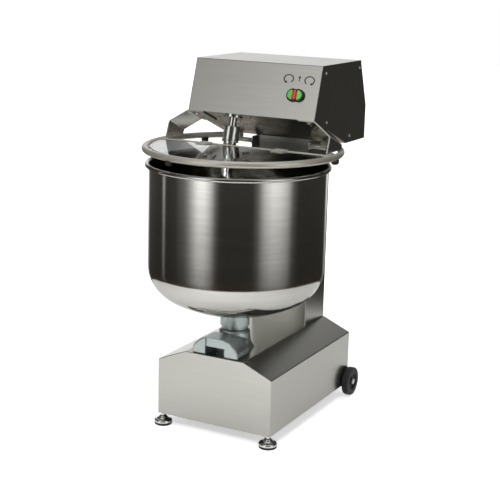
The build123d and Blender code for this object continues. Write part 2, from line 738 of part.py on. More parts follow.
for bearing_name, (low, high) in (("lower", TOOL_LOWER_BEARING), ("upper", TOOL_UPPER_BEARING)):
    bearing = turned(
        [
            (SHAFT_RADIUS + RUN, low),
            (TOOL_BEARING_RADIUS, low),
            (TOOL_BEARING_RADIUS, high),
            (SHAFT_RADIUS + RUN, high),
        ],
        tool_section,
        tool_axis,
    )
    save(bearing, f"spindle_bearing_{bearing_name}")

tool_pulley = turned(
    pulley_outline(SHAFT_RADIUS, TOOL_PULLEY_GROOVE, TOOL_PULLEY_LOW), tool_section, tool_axis
)
save(tool_pulley, "tool_pulley")

tool_motor_plane = tool_plane.shift_origin(
    tool_plane.from_local_coords((TOOL_MOTOR[0], TOOL_MOTOR[1], 0))
)
tool_motor_section = Plane(
    origin=tool_motor_plane.origin, x_dir=tool_section.x_dir, z_dir=tool_section.z_dir
)
tool_motor_axis = Axis(tool_motor_plane.origin, tool_up)

with BuildPart() as tool_motor_pulley:
    with BuildSketch(tool_motor_section):
        Polygon(*pulley_outline(0, TOOL_PULLEY_GROOVE, TOOL_PULLEY_LOW), align=None)
        with Locations((MOTOR_SHAFT / 2, (TOOL_PULLEY_LOW + TOOL_MOTOR_TOP - SHAFT_REACH) / 2)):
            Rectangle(MOTOR_SHAFT, TOOL_PULLEY_LOW - TOOL_MOTOR_TOP + SHAFT_REACH)
    revolve(axis=tool_motor_axis)
save(tool_motor_pulley, "tool_motor_pulley")

with BuildPart() as tool_gearmotor:
    with Locations(tool_motor_plane.offset(40)):
        Cylinder(48, 90, align=(Align.CENTER, Align.CENTER, Align.MIN))
    add(head_hollow.part, mode=Mode.INTERSECT)
    with BuildSketch(tool_motor_section):
        Polygon(
            (0, 112), (50, 112), (56, 118), (56, 178), (44, TOOL_MOTOR_TOP), (0, TOOL_MOTOR_TOP),
            align=None,
        )
    revolve(axis=tool_motor_axis)
    with Locations(tool_motor_plane.offset(TOOL_MOTOR_TOP - SHAFT_REACH - 2)):
        Cylinder(
            MOTOR_SHAFT + RUN,
            SHAFT_REACH + 3,
            align=(Align.CENTER, Align.CENTER, Align.MIN),
            mode=Mode.SUBTRACT,
        )
save(tool_gearmotor, "tool_gearmotor")

tool_drive_belt = belt(
    tool_plane.offset(TOOL_PULLEY_LOW + (PULLEY_WIDTH - BELT_WIDTH) / 2),
    BELT_WIDTH,
    TOOL_PULLEY_GROOVE,
    TOOL_PULLEY_GROOVE,
    TOOL_MOTOR,
    TOOL_BELT_THICKNESS,
)
save(tool_drive_belt, "tool_drive_belt")

# ---------------------------------------------------------------- spindle, coupling and spiral
STEM_RADIUS = 17.0
SOCKET_RADIUS = 20.5
SOCKET_BOTTOM = -44.0
SOCKET_TOP = 50.0
SLEEVE_RADIUS = 25.5
SLEEVE_TOP = 52.7
PIN_HEIGHT = -22.0
PIN_RADIUS = 4.0
SPIRAL_TOP = -95.0
SPIRAL_END = -425.0
SPIRAL_TURNS = 1.25
SPREAD = 130.0                                # length over which the bar runs out to full radius

with BuildPart() as tool_spindle:
    along_tool(4, TOOL_PULLEY_LOW + PULLEY_WIDTH + 6, SHAFT_RADIUS)
save(tool_spindle, "tool_spindle")

with BuildPart() as coupling_socket:
    with BuildSketch(tool_section):
        Polygon(
            (STEM_RADIUS + RUN, SOCKET_BOTTOM),
            (SOCKET_RADIUS - 1, SOCKET_BOTTOM),
            (SOCKET_RADIUS, SOCKET_BOTTOM + 1),
            (SOCKET_RADIUS, SOCKET_TOP),
            (SHAFT_RADIUS, SOCKET_TOP),
            (SHAFT_RADIUS, 4),
            (0, 4),
            (0, 0),
            (STEM_RADIUS + RUN, 0),
            align=None,
        )
    revolve(axis=tool_axis)
    with Locations(tool_plane.offset(PIN_HEIGHT)):
        Cylinder(PIN_RADIUS, 60, rotation=(0, 90, 0), mode=Mode.SUBTRACT)
save(coupling_socket, "coupling_socket")

with BuildPart() as coupling_pin:
    with Locations(tool_plane.offset(PIN_HEIGHT)):
        Cylinder(PIN_RADIUS, 48, rotation=(0, 90, 0))
save(coupling_pin, "coupling_pin")

coupling_sleeve = turned(
    [
        (SOCKET_RADIUS + 0.3, 4),
        (SLEEVE_RADIUS + 1.5, 4),
        (SLEEVE_RADIUS + 1.5, 8),
        (SLEEVE_RADIUS, 9),
        (SLEEVE_RADIUS, SLEEVE_TOP - 1.5),
        (SLEEVE_RADIUS - 1.5, SLEEVE_TOP),
        (SOCKET_RADIUS + 0.3, SLEEVE_TOP),
    ],
    tool_section,
    tool_axis,
)
save(coupling_sleeve, "coupling_sleeve")


def on_spiral(fall):
    """Point of the spiral bar's centreline at a fraction of its fall, in space."""
    drop = fall * (SPIRAL_TOP - SPIRAL_END)
    ramp = min(1, drop / SPREAD)
    reach = SPIRAL_RADIUS * ramp**2 * (3 - 2 * ramp)
    turn = 2 * pi * SPIRAL_TURNS * fall
    return tool_plane.from_local_coords((reach * cos(turn), reach * sin(turn), SPIRAL_TOP - drop))


SPIRAL_STEPS = 24
LEAD_IN = (30.0, 20.0, 10.0)                  # straight start of the bar, up inside the stem
with BuildPart() as mixing_tool:
    along_tool(SPIRAL_TOP + 5, -2, STEM_RADIUS)
    with BuildLine() as spiral_path:
        Spline(
            *[tool_plane.from_local_coords((0, 0, SPIRAL_TOP + rise)) for rise in LEAD_IN],
            *[on_spiral(i / SPIRAL_STEPS) for i in range(SPIRAL_STEPS + 1)],
        )
    spiral_wire = spiral_path.wires()[0]
    with BuildSketch(Plane(origin=spiral_wire @ 0, z_dir=spiral_wire % 0)):
        Circle(SPIRAL_BAR)
    sweep()
    with Locations(spiral_wire @ 1):
        Sphere(SPIRAL_BAR)
    with Locations(tool_plane.offset(PIN_HEIGHT)):
        Cylinder(PIN_RADIUS, 60, rotation=(0, 90, 0), mode=Mode.SUBTRACT)
save(mixing_tool, "mixing_tool")

# ---------------------------------------------------------------- guard ring and its arms
ARM_LENGTH = 96.0
ARM_FOOT = 894.5
ARM_BOLTS = (14.0, 76.0)
ARM_OUTLINE = [(165.0, 0.0), (221.0, 0.0), (281.0, 41.5), (281.0, 110.0)]
floor_run = HEAD_FLOOR_FRONT[0] - HEAD_FRONT_LOW[0]
floor_fall = HEAD_FRONT_LOW[1] - HEAD_FLOOR_FRONT[1]
floor_length = hypot(floor_run, floor_fall)
head_front_edge = (0, *HEAD_FRONT_LOW)
down_floor = (0, floor_run / floor_length, -floor_fall / floor_length)
out_of_floor = (0, -floor_fall / floor_length, -floor_run / floor_length)
arm_section = Plane(origin=head_front_edge, x_dir=(1, 0, 0), z_dir=down_floor)
floor_plane = Plane(origin=head_front_edge, x_dir=(1, 0, 0), z_dir=out_of_floor)
LUG = (275.0, 291.0)

for name, side in SIDES:
    with BuildPart() as guard_arm:
        with BuildSketch(arm_section):
            Polygon(
                *strip([(side * x, y) for x, y in ARM_OUTLINE], side * FLOOR_SHEET), align=None
            )
        extrude(amount=ARM_LENGTH)
        with Locations((side * 240, 0, ARM_FOOT)):
            Box(
                200, 400, 200, align=(Align.CENTER, Align.CENTER, Align.MAX), mode=Mode.SUBTRACT
            )
    save(guard_arm, f"guard_arm_{name}")

with BuildPart() as guard_arm_bolts:
    with BuildSketch(floor_plane.offset(FLOOR_SHEET)):
        with Locations(*[(side * 196, -u) for _, side in SIDES for u in ARM_BOLTS]):
            RegularPolygon(8, 6)
    extrude(amount=6)
save(guard_arm_bolts, "guard_arm_bolts")

UNDERSIDE_BOLTS = [(-134.0, 11.0), (-103.0, 71.0), (-80.0, 78.5), (-68.0, 80.5), (-18.0, 11.0)]
with BuildPart() as underside_bolts:
    with BuildSketch(floor_plane):
        bolt_drops = [(x, (HEAD_FRONT_LOW[0] - y) * floor_length / floor_run) for x, y in UNDERSIDE_BOLTS]
        with Locations(*bolt_drops):
            RegularPolygon(6, 6)
    extrude(amount=4.5)
save(underside_bolts, "underside_bolts")

STUB_Y = 183.0
STUB_Z = 870.0
STUB_RADIUS = 8.0
REST_ANGLES = (210, 270, 330)
RING_OPENING = 60.0                           # the ring is open over this angle at the rear
with BuildPart() as guard_ring:
    with BuildLine() as ring_line:
        CenterArc((0, RING_Y, RING_Z), RING_RADIUS, 90 + RING_OPENING / 2, 360 - RING_OPENING)
    ring_wire = ring_line.wires()[0]
    with BuildSketch(Plane(origin=ring_wire @ 0, z_dir=ring_wire % 0)):
        Circle(RING_TUBE)
    sweep()
    with Locations(ring_wire @ 0, ring_wire @ 1):
        Sphere(RING_TUBE)
    for _, side in SIDES:
        with BuildSketch(beside(side * (COLUMN_HALF_WIDTH + CHEEK_THICKNESS))):
            with Locations((STUB_Y, STUB_Z)):
                Circle(STUB_RADIUS)
        extrude(amount=side * 58)
        # lug the arm's foot is welded to
        plate(*sorted((side * LUG[0], side * LUG[1])), -66, -42, RING_Z, ARM_FOOT)
    # small tabs the lid rests on
    with Locations((0, RING_Y, LID_Z - 3.5)):
        with PolarLocations(RING_RADIUS - 16, len(REST_ANGLES), REST_ANGLES[0], 120, endpoint=True):
            Box(17, 20, 6)
    with BuildSketch(beside(-RING_RADIUS + RING_TUBE - 2)):
        with Locations((RING_Y, HINGE_Z)):
            Circle(HINGE_ROD)
    extrude(amount=2 * (RING_RADIUS - RING_TUBE + 2), mode=Mode.SUBTRACT)
save(guard_ring, "guard_ring")

with BuildPart() as lid_hinge_rod:
    with BuildSketch(beside(-RING_RADIUS + RING_TUBE - 2)):
        with Locations((RING_Y, HINGE_Z)):
            Circle(HINGE_ROD)
    extrude(amount=2 * (RING_RADIUS - RING_TUBE + 2))
save(lid_hinge_rod, "lid_hinge_rod")

BUMPER_ANGLES = (143, 4, 253)
BUMPER_RADIUS = 12.0
BUMPER_HEIGHT = 15.0
BUMPER_INTO_TUBE = 3.0
with BuildPart() as guard_bumpers:
    for angle in BUMPER_ANGLES:
        with Locations((0, RING_Y, RING_Z - RING_TUBE + BUMPER_INTO_TUBE)):
            with PolarLocations(RING_RADIUS, 1, angle):
                Cylinder(BUMPER_RADIUS, BUMPER_HEIGHT, align=(Align.CENTER, Align.CENTER, Align.MAX))
save(guard_bumpers, "guard_bumpers")

# ---------------------------------------------------------------- clear lid
LID_RADIUS = 284.0
LID_REAR = -83.0
LID_SHOULDER = (268.0, -103.0)                # clears the ring's lugs and arms
KNUCKLE = (110.0, 150.0)
KNUCKLE_RADIUS = 7.5

with BuildPart() as clear_lid:
    with BuildSketch(Plane.XY.offset(LID_Z)):
        with Locations((0, RING_Y)):
            Circle(LID_RADIUS)
        with Locations((0, LID_REAR + 200)):
            Rectangle(600, 400, mode=Mode.SUBTRACT)
        for _, side in SIDES:
            with Locations((side * (LID_SHOULDER[0] + 50), LID_SHOULDER[1] + 50)):
                Rectangle(100, 100, mode=Mode.SUBTRACT)
    extrude(amount=LID_THICKNESS)
save(clear_lid, "clear_lid")

with BuildPart() as lid_knuckles:
    for _, side in SIDES:
        start = min(side * KNUCKLE[0], side * KNUCKLE[1])
        length = KNUCKLE[1] - KNUCKLE[0]
        with BuildSketch(beside(start)):
            with Locations((RING_Y, HINGE_Z)):
                Circle(KNUCKLE_RADIUS)
        extrude(amount=length)
        plate(start, start + length, RING_Y - 34, RING_Y, LID_Z + LID_THICKNESS, LID_Z + 6.5)
    with BuildSketch(beside(-RING_RADIUS)):
        with Locations((RING_Y, HINGE_Z)):
            Circle(HINGE_ROD + RUN)
    extrude(amount=2 * RING_RADIUS, mode=Mode.SUBTRACT)
save(lid_knuckles, "lid_knuckles")

# ---------------------------------------------------------------- wheels
TYRE_BORE = 30.0
TREAD_BARS = 28
TREAD_DEPTH = 2.5
CAP_RADIUS = 9.0
wheel_section = Plane(origin=(0, WHEEL_Y, WHEEL_RADIUS), x_dir=(0, 0, 1), z_dir=(0, 1, 0))
wheel_axis = Axis((0, WHEEL_Y, WHEEL_RADIUS), (1, 0, 0))

for name, side in SIDES:
    inner = side * WHEEL_INNER_X
    outer = side * (WHEEL_INNER_X + WHEEL_WIDTH)
    with BuildPart() as tyre:
        with BuildSketch(wheel_section):
            Polygon(
                (TYRE_BORE, inner),
                (WHEEL_RADIUS - 3, inner),
                (WHEEL_RADIUS, inner + side * 4),
                (WHEEL_RADIUS, outer - side * 4),
                (WHEEL_RADIUS - 3, outer),
                (TYRE_BORE, outer),
                align=None,
            )
        revolve(axis=wheel_axis)
        # tread bars across the tyre's outer shoulder
        with Locations(Plane(origin=(outer, WHEEL_Y, WHEEL_RADIUS), x_dir=(0, 0, 1), z_dir=(1, 0, 0))):
            with PolarLocations(WHEEL_RADIUS, TREAD_BARS, 180 / TREAD_BARS):
                Box(2 * TREAD_DEPTH, 4, WHEEL_WIDTH, mode=Mode.SUBTRACT)
    save(tyre, f"tyre_{name}")
    with BuildPart() as wheel_hub:
        with BuildSketch(wheel_section):
            Polygon(
                (AXLE_RADIUS + RUN, inner),
                (14, inner),
                (14, inner + side * 4),
                (TYRE_BORE, inner + side * 4),
                (TYRE_BORE, outer - side * 4),
                (TYRE_BORE - 4, outer - side * 2),
                (TYRE_BORE - 8, outer - side * 7),
                (15, outer - side * 7),
                (13, outer - side * 1),
                (AXLE_RADIUS + RUN, outer - side * 1),
                align=None,
            )
        revolve(axis=wheel_axis)
    save(wheel_hub, f"wheel_hub_{name}")

with BuildPart() as wheel_axles:
    for _, side in SIDES:
        tip = side * (WHEEL_INNER_X + WHEEL_WIDTH)
        with BuildSketch(wheel_section):
            Polygon(
                (0, side * 152),
                (AXLE_RADIUS, side * 152),
                (AXLE_RADIUS, tip),
                (CAP_RADIUS, tip),
                (CAP_RADIUS - 1, tip + side * 2),
                (CAP_RADIUS - 5, tip + side * 3),
                (0, tip + side * 3),
                align=None,
            )
        revolve(axis=wheel_axis)
save(wheel_axles, "wheel_axles")

# ---------------------------------------------------------------- front feet
PAD_HEIGHT = 6.0
for name, side in SIDES:
    foot_section = Plane(origin=(side * FOOT_X, FOOT_Y, 0), x_dir=(1, 0, 0), z_dir=(0, -1, 0))
    foot_axis = Axis((side * FOOT_X, FOOT_Y, 0), (0, 0, 1))
    foot = turned(
        [
            (0, PAD_HEIGHT),
            (FOOT_RADIUS, PAD_HEIGHT),
            (FOOT_RADIUS, PAD_HEIGHT + 7),
            (FOOT_RADIUS - 2, PAD_HEIGHT + 9),
            (18, PAD_HEIGHT + 14),
            (11, PAD_HEIGHT + 22),
            (STUD_RADIUS, PAD_HEIGHT + 23),
            (STUD_RADIUS, RAIL_TOP - 3),
            (0, RAIL_TOP - 3),
        ],
        foot_section,
        foot_axis,
    )
    save(foot, f"foot_{name}")
    foot_pad = turned(
        [(0, 0), (FOOT_RADIUS - 3, 0), (FOOT_RADIUS - 1, 2), (FOOT_RADIUS - 1, PAD_HEIGHT), (0, PAD_HEIGHT)],
        foot_section,
        foot_axis,
    )
    save(foot_pad, f"foot_pad_{name}")

# ---------------------------------------------------------------- cable gland on the base's rear
GLAND_BORE = 5.0
gland_section = Plane(origin=(GLAND[0], 0, GLAND[1]), x_dir=(1, 0, 0), z_dir=(0, 0, 1))
with BuildPart() as cable_gland:
    with BuildSketch(gland_section):
        Polygon(
            (GLAND_BORE, BASE_REAR - 14),
            (GLAND_THREAD, BASE_REAR - 14),
            (GLAND_THREAD, BASE_REAR),
            (14, BASE_REAR),
            (14, BASE_REAR + 12),
            (11, BASE_REAR + 19),
            (8, BASE_REAR + 21),
            (GLAND_BORE, BASE_REAR + 21),
            align=None,
        )
    revolve(axis=Axis((GLAND[0], 0, GLAND[1]), (0, 1, 0)))
save(cable_gland, "cable_gland")
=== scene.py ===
"""Looks of a floor-standing dough mixer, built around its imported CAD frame.

Metres, origin on the floor under the middle of the machine, front is -Y, right is +X.
"""

import json
from math import atan2, cos, degrees, hypot, pi, radians, sin, sqrt

import bmesh
import bpy
from mathutils import Matrix, Vector


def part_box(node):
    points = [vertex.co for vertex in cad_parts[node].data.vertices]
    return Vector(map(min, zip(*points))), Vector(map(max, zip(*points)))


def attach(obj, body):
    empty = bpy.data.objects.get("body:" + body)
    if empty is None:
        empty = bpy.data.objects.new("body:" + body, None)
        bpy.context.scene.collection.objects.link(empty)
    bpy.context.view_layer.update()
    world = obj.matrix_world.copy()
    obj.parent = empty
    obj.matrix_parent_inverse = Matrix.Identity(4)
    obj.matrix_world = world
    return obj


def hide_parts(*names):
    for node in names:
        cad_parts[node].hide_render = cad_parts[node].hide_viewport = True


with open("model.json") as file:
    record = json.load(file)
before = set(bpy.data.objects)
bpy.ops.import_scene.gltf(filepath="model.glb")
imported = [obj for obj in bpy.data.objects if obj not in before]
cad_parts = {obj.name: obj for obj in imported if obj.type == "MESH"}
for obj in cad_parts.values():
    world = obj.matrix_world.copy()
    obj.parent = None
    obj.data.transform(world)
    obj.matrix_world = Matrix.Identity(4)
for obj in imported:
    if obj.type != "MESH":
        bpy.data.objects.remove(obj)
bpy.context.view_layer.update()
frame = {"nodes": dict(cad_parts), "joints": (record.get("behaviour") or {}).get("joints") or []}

bl_info = {
    "name": "Dough mixer looks",
    "version": (1, 0, 0),
    "blender": (4, 5, 0),
    "location": "View3D > Sidebar > Mixer",
    "description": "Builds the visible pieces of a stainless steel dough mixer",
    "category": "Add Mesh",
}

MM = 0.001
UP = (0, 0, 1)
ACROSS = (1, 0, 0)
JOINTS = {j["name"]: j for j in frame["joints"]}


# ---------------------------------------------------------------- sizes read from the frame
def middle(node):
    """Middle of a CAD node's box."""
    low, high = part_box(node)
    return (low + high) / 2


BASE_LOW, BASE_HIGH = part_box("base_cover")
BASE_LOW.y, BASE_HIGH.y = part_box("base_front_panel")[0].y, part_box("base_rear_panel")[1].y
COLUMN_LOW, COLUMN_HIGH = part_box("column_cover")
HEAD_LOW, HEAD_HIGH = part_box("head_cover")
BOWL_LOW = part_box("bowl")[0]
BOWL_AXIS = Vector(JOINTS["bowl_spin"]["pos_m"])
TOOL_AXIS = Vector(JOINTS["tool_spin"]["axis"])
TOOL_POINT = Vector(JOINTS["tool_spin"]["pos_m"])
PRESS = Vector(JOINTS["stop_press"]["axis"])
LID_AXIS = Vector(JOINTS["lid_lift"]["pos_m"])


# ---------------------------------------------------------------- properties a user would change
def linear(hex_colour):
    """An sRGB hex colour as linear red, green, blue."""
    parts = [int(hex_colour[i : i + 2], 16) / 255 for i in (1, 3, 5)]
    return [p / 12.92 if p <= 0.04045 else ((p + 0.055) / 1.055) ** 2.4 for p in parts]


def colour(name, hex_colour, description):
    return bpy.props.FloatVectorProperty(
        name=name, subtype="COLOR", size=3, min=0, max=1, default=linear(hex_colour), description=description
    )


def length(name, metres, description):
    return bpy.props.FloatProperty(
        name=name, subtype="DISTANCE", unit="LENGTH", default=metres, min=0, description=description
    )


class MixerSizes(bpy.types.PropertyGroup):
    fold: length("Fold radius", 2.2 * MM, "Outside radius of the casing's folded edges")
    sheet_edge: length("Sheet edge", 0.5 * MM, "Rounding of cut sheet edges")
    bead: length("Bead radius", 6.5 * MM, "Radius of the rolled bead round the bowl's rim")
    guard_tube: length("Guard tube radius", 10 * MM, "Radius of the guard's round tube")
    bowl_wall: length("Bowl wall", 2.5 * MM, "Thickness of the bowl's wall")


class MixerColours(bpy.types.PropertyGroup):
    casing: colour("Casing", "#BDBCB6", "Brushed stainless steel of the casings")
    bowl: colour("Bowl", "#C4C3BE", "Polished stainless steel of the bowl")
    tube: colour("Tube", "#BCB9AE", "Satin stainless steel of the guard")
    casting: colour("Casting", "#B4BDBB", "Bead blasted aluminium of the bearing housing")
    start: colour("Start buttons", "#5DB04A", "Green plastic of the start buttons")
    stop: colour("Stop button", "#C4262B", "Red plastic of the stop button")
    floor: colour("Floor", "#F6F6F6", "Paper that the machine stands on")


def sizes():
    return bpy.context.scene.mixer_sizes


def colours():
    return bpy.context.scene.mixer_colours


# ---------------------------------------------------------------- materials
def add(tree, kind, links=None, inputs=None, **settings):
    """Adds a node: links maps input names to sockets, inputs maps input names to values."""
    made = tree.nodes.new(kind)
    for key, value in settings.items():
        setattr(made, key, value)
    for key, value in (inputs or {}).items():
        made.inputs[key].default_value = value
    for key, socket in (links or {}).items():
        tree.links.new(socket, made.inputs[key])
    return made


def ramp(made, stops):
    """Sets a colour ramp's stops from (position, grey or colour) pairs."""
    elements = made.color_ramp.elements
    while len(elements) > 1:
        elements.remove(elements[-1])
    for i, (at, value) in enumerate(stops):
        if i:
            elements.new(at)
        elements[i].position = at
        rgb = value if hasattr(value, "__len__") else (value, value, value)
        elements[i].color = (*rgb, 1)
    return made


MATERIALS = {}
SHADER = "Principled BSDF"


def made_once(make):
    """Makes a material the first time that it is asked for, and gives the same one after that."""

    def give(name, *settings, **more):
        if name not in MATERIALS:
            made = bpy.data.materials.new(name)
            made.use_nodes = True
            place = add(made.node_tree, "ShaderNodeTexCoord").outputs["Object"]
            make(made.node_tree, place, *settings, **more)
            MATERIALS[name] = made
        return MATERIALS[name]

    return give


def wire(tree, rgb, tone, rough, height=None, depth=0.0, distance=0.0, **sockets):
    """Joins a tone over a base colour, a roughness and a bump to the shader, and sets its sockets."""
    shader = tree.nodes[SHADER]
    base = add(tree, "ShaderNodeVectorMath", {1: tone}, {0: rgb}, operation="MULTIPLY")
    tree.links.new(base.outputs[0], shader.inputs["Base Color"])
    tree.links.new(rough, shader.inputs["Roughness"])
    if height:
        bump = add(tree, "ShaderNodeBump", {"Height": height}, {"Strength": depth, "Distance": distance})
        tree.links.new(bump.outputs[0], shader.inputs["Normal"])
    for name, value in sockets.items():
        shader.inputs[name.replace("_", " ")].default_value = value


@made_once
def brushed_steel(tree, place, rgb, grain, roughness, depth):
    """Rolled and brushed stainless sheet: long fine scratches one way, soft cloudy sheen."""
    # Real grain is 0.1 mm; it is drawn near 1 mm so that it shows at this size.
    looks = []
    for across, along, detail, rough in ((1000.0, 9.0, 3.0, 0.6), (90.0, 3.0, 2.0, 0.5)):
        stretch = [along if axis == grain else across for axis in "XYZ"]
        turned = add(tree, "ShaderNodeMapping", {"Vector": place}, {"Scale": stretch})
        noise = {"Scale": 1.0, "Detail": detail, "Roughness": rough}
        looks.append(add(tree, "ShaderNodeTexNoise", {"Vector": turned.outputs[0]}, noise).outputs["Fac"])
    streak, band = looks
    cloud = add(tree, "ShaderNodeTexNoise", {"Vector": place}, {"Scale": 7.0, "Detail": 2.0})
    fine = add(tree, "ShaderNodeMapRange", {"Value": streak}, {"To Min": 0.90, "To Max": 1.06})
    broad = add(tree, "ShaderNodeMapRange", {"Value": band}, {"To Min": 0.95, "To Max": 1.04})
    tone = add(tree, "ShaderNodeMath", {0: fine.outputs[0], 1: broad.outputs[0]}, operation="MULTIPLY")
    limits = {"To Min": roughness * 0.85, "To Max": roughness * 1.15}
    rough = add(tree, "ShaderNodeMapRange", {"Value": cloud.outputs["Fac"]}, limits)
    wire(tree, rgb, tone.outputs[0], rough.outputs[0], streak, depth, 0.2 * MM, Metallic=1.0)


@made_once
def polished_steel(tree, place, rgb, roughness, depth):
    """Spun and polished stainless steel: near mirror, with faint turning rings round the wall."""
    # Turning marks 1.5 mm apart, drawn as wide as they need to be to show.
    looks = []
    for round_it, up, detail, rough in ((5.0, 420.0, 3.0, 0.65), (7.0, 75.0, 2.0, 0.5)):
        turned = add(tree, "ShaderNodeMapping", {"Vector": place}, {"Scale": (round_it, round_it, up)})
        noise = {"Scale": 1.0, "Detail": detail, "Roughness": rough}
        looks.append(add(tree, "ShaderNodeTexNoise", {"Vector": turned.outputs[0]}, noise).outputs["Fac"])
    rings, bands = looks
    tone = add(tree, "ShaderNodeMapRange", {"Value": bands}, {"To Min": 0.86, "To Max": 1.06})
    limits = {"From Min": 0.3, "From Max": 0.7, "To Min": roughness * 0.6, "To Max": roughness * 1.5}
    rough = add(tree, "ShaderNodeMapRange", {"Value": rings}, limits)
    wire(tree, rgb, tone.outputs[0], rough.outputs[0], rings, depth, 0.1 * MM, Metallic=1.0)


@made_once
def grained(tree, place, rgb, grain_mm, roughness, depth, spread=0.12, **sockets):
    """Cast, moulded or painted surface: even grain of a given size over slow cloudy variation."""
    scales = ({"Scale": 1000.0 / grain_mm, "Detail": 2.0}, {"Scale": 22.0, "Detail": 3.0})
    made = [add(tree, "ShaderNodeTexNoise", {"Vector": place}, each) for each in scales]
    grain, cloud = (noise.outputs["Fac"] for noise in made)
    mixed = add(tree, "ShaderNodeMath", {0: grain, 1: cloud}, operation="ADD")
    limits = {"From Min": 0.6, "From Max": 1.4, "To Min": 1 - spread, "To Max": 1 + spread}
    tone = add(tree, "ShaderNodeMapRange", {"Value": mixed.outputs[0]}, limits)
    limits = {"To Min": roughness * 0.85, "To Max": min(1.0, roughness * 1.15)}
    rough = add(tree, "ShaderNodeMapRange", {"Value": cloud}, limits)
    wire(tree, rgb, tone.outputs[0], rough.outputs[0], grain, depth, grain_mm * 0.2 * MM, **sockets)


@made_once
def clear_polycarbonate(tree, place):
    """Extruded clear polycarbonate: colourless, glossy, with faint wiping marks."""
    noise = add(tree, "ShaderNodeTexNoise", {"Vector": place}, {"Scale": 30.0, "Detail": 4.0})
    marks = noise.outputs["Fac"]
    rough = add(tree, "ShaderNodeMapRange", {"Value": marks}, {"To Min": 0.0, "To Max": 0.05})
    tint = add(tree, "ShaderNodeMapRange", {"Value": marks}, {"To Min": 0.94, "To Max": 1.0})
    wire(tree, linear("#F4F7F6"), tint.outputs[0], rough.outputs[0], Transmission_Weight=1.0, IOR=1.58)


def casing_steel(grain):
    """Brushed stainless of the casings, with its grain along one axis."""
    return brushed_steel(f"brushed_stainless_{grain}", colours().casing, grain, 0.24, 0.25)


def bowl_steel():
    return polished_steel("polished_stainless_spun", colours().bowl, 0.10, 0.12)


def turned_steel():
    return polished_steel("polished_stainless_turned", linear("#D2D1CD"), 0.12, 0.08)


def satin_tube():
    return grained("satin_stainless_tube", colours().tube, 0.9, 0.34, 0.12, Metallic=0.7, spread=0.05)


def bright_chrome():
    return polished_steel("bright_chrome_plate", linear("#E4E4E2"), 0.05, 0.03)


def cast_aluminium():
    return grained("bead_blasted_aluminium", colours().casting, 1.2, 0.36, 0.25, Metallic=0.9, spread=0.06)


def black_rubber():
    return grained("black_moulded_rubber", linear("#1C1C1B"), 0.8, 0.62, 0.3)


def tyre_rubber():
    return grained("grey_black_tyre_rubber", linear("#2B2D2C"), 1.0, 0.55, 0.4, spread=0.18)


def black_plastic():
    return grained("black_moulded_nylon", linear("#17181A"), 0.7, 0.40, 0.2)


def green_plastic():
    return grained("green_gloss_abs", colours().start, 0.6, 0.22, 0.05, spread=0.05, Coat_Weight=0.3)


def red_plastic():
    return grained("red_gloss_abs", colours().stop, 0.6, 0.22, 0.05, spread=0.05, Coat_Weight=0.3)


def etched_ink():
    return grained("black_etched_mark", linear("#2A2B2A"), 0.5, 0.5, 0.1, Metallic=0.3)


def screw_steel():
    return polished_steel("zinc_bright_screw_steel", linear("#D8D7D2"), 0.16, 0.05)


def drive_iron():
    return grained("grey_painted_drive_casting", linear("#5B6166"), 1.5, 0.48, 0.3)


def frame_paint():
    return grained("dark_grey_frame_enamel", linear("#3E4144"), 1.0, 0.42, 0.15)


def box_plastic():
    return grained("light_grey_abs_box", linear("#A9ACAA"), 0.8, 0.45, 0.2)


# ---------------------------------------------------------------- making pieces
def rounded(bm, edges, radius, segments=3):
    """Rounds edges of a piece being made."""
    if edges and radius > 0:
        bmesh.ops.bevel(
            bm,
            geom=edges,
            offset=radius,
            offset_type="OFFSET",
            segments=segments,
            profile=0.5,
            affect="EDGES",
            clamp_overlap=True,
            material=-1,
        )


def face_of(bm, points):
    """One flat face through points in space."""
    return bm.faces.new([bm.verts.new(p) for p in points])


def pushed(bm, faces, by):
    """Extrudes faces by a vector and returns the new faces."""
    result = bmesh.ops.extrude_face_region(bm, geom=faces)
    moved = [g for g in result["geom"] if isinstance(g, bmesh.types.BMVert)]
    bmesh.ops.translate(bm, verts=moved, vec=by)
    return [g for g in result["geom"] if isinstance(g, bmesh.types.BMFace)]


def prism(bm, points, by):
    """A closed prism: a face through points, extruded by a vector."""
    before = set(bm.edges)
    face = face_of(bm, points)
    pushed(bm, [face], by)
    return [e for e in bm.edges if e not in before]


def lathed(bm, profile, origin, axis, across, steps):
    """A turned shape: (radius, height) points on an axis, spun right round."""
    axis = Vector(axis).normalized()
    across = Vector(across).normalized()
    verts = [bm.verts.new(Vector(origin) + across * r + axis * h) for r, h in profile]
    edges = [bm.edges.new(pair) for pair in zip(verts, verts[1:])]
    bmesh.ops.spin(
        bm, geom=verts + edges, cent=origin, axis=axis, angle=2 * pi, steps=steps, use_merge=True
    )
    bmesh.ops.remove_doubles(bm, verts=bm.verts, dist=1e-6)


def in_mm(*points):
    """Points given in millimetres, as metres."""
    return [tuple(value * MM for value in point) for point in points]


def arc(centre, radius, start, end, count):
    """Points on an arc in a profile, angles in degrees from the first axis."""
    steps = [radians(start + (end - start) * i / count) for i in range(count + 1)]
    return [(centre[0] + radius * cos(a), centre[1] + radius * sin(a)) for a in steps]


def finished(bm, name, made_of, body, replaces=(), sharp=38, normals=True):
    """Turns a bmesh into a named piece that rides on a body and the nodes it replaces."""
    bmesh.ops.remove_doubles(bm, verts=bm.verts, dist=1e-6)
    if normals:
        bmesh.ops.recalc_face_normals(bm, faces=bm.faces)
    for face in bm.faces:
        face.smooth = True
    mesh = bpy.data.meshes.new(name)
    bm.to_mesh(mesh)
    bm.free()
    mesh.set_sharp_from_angle(angle=radians(sharp))
    piece = bpy.data.objects.new(name, mesh)
    bpy.context.scene.collection.objects.link(piece)
    mesh.materials.append(made_of)
    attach(piece, body)
    for node in replaces:
        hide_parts(node)
    return piece


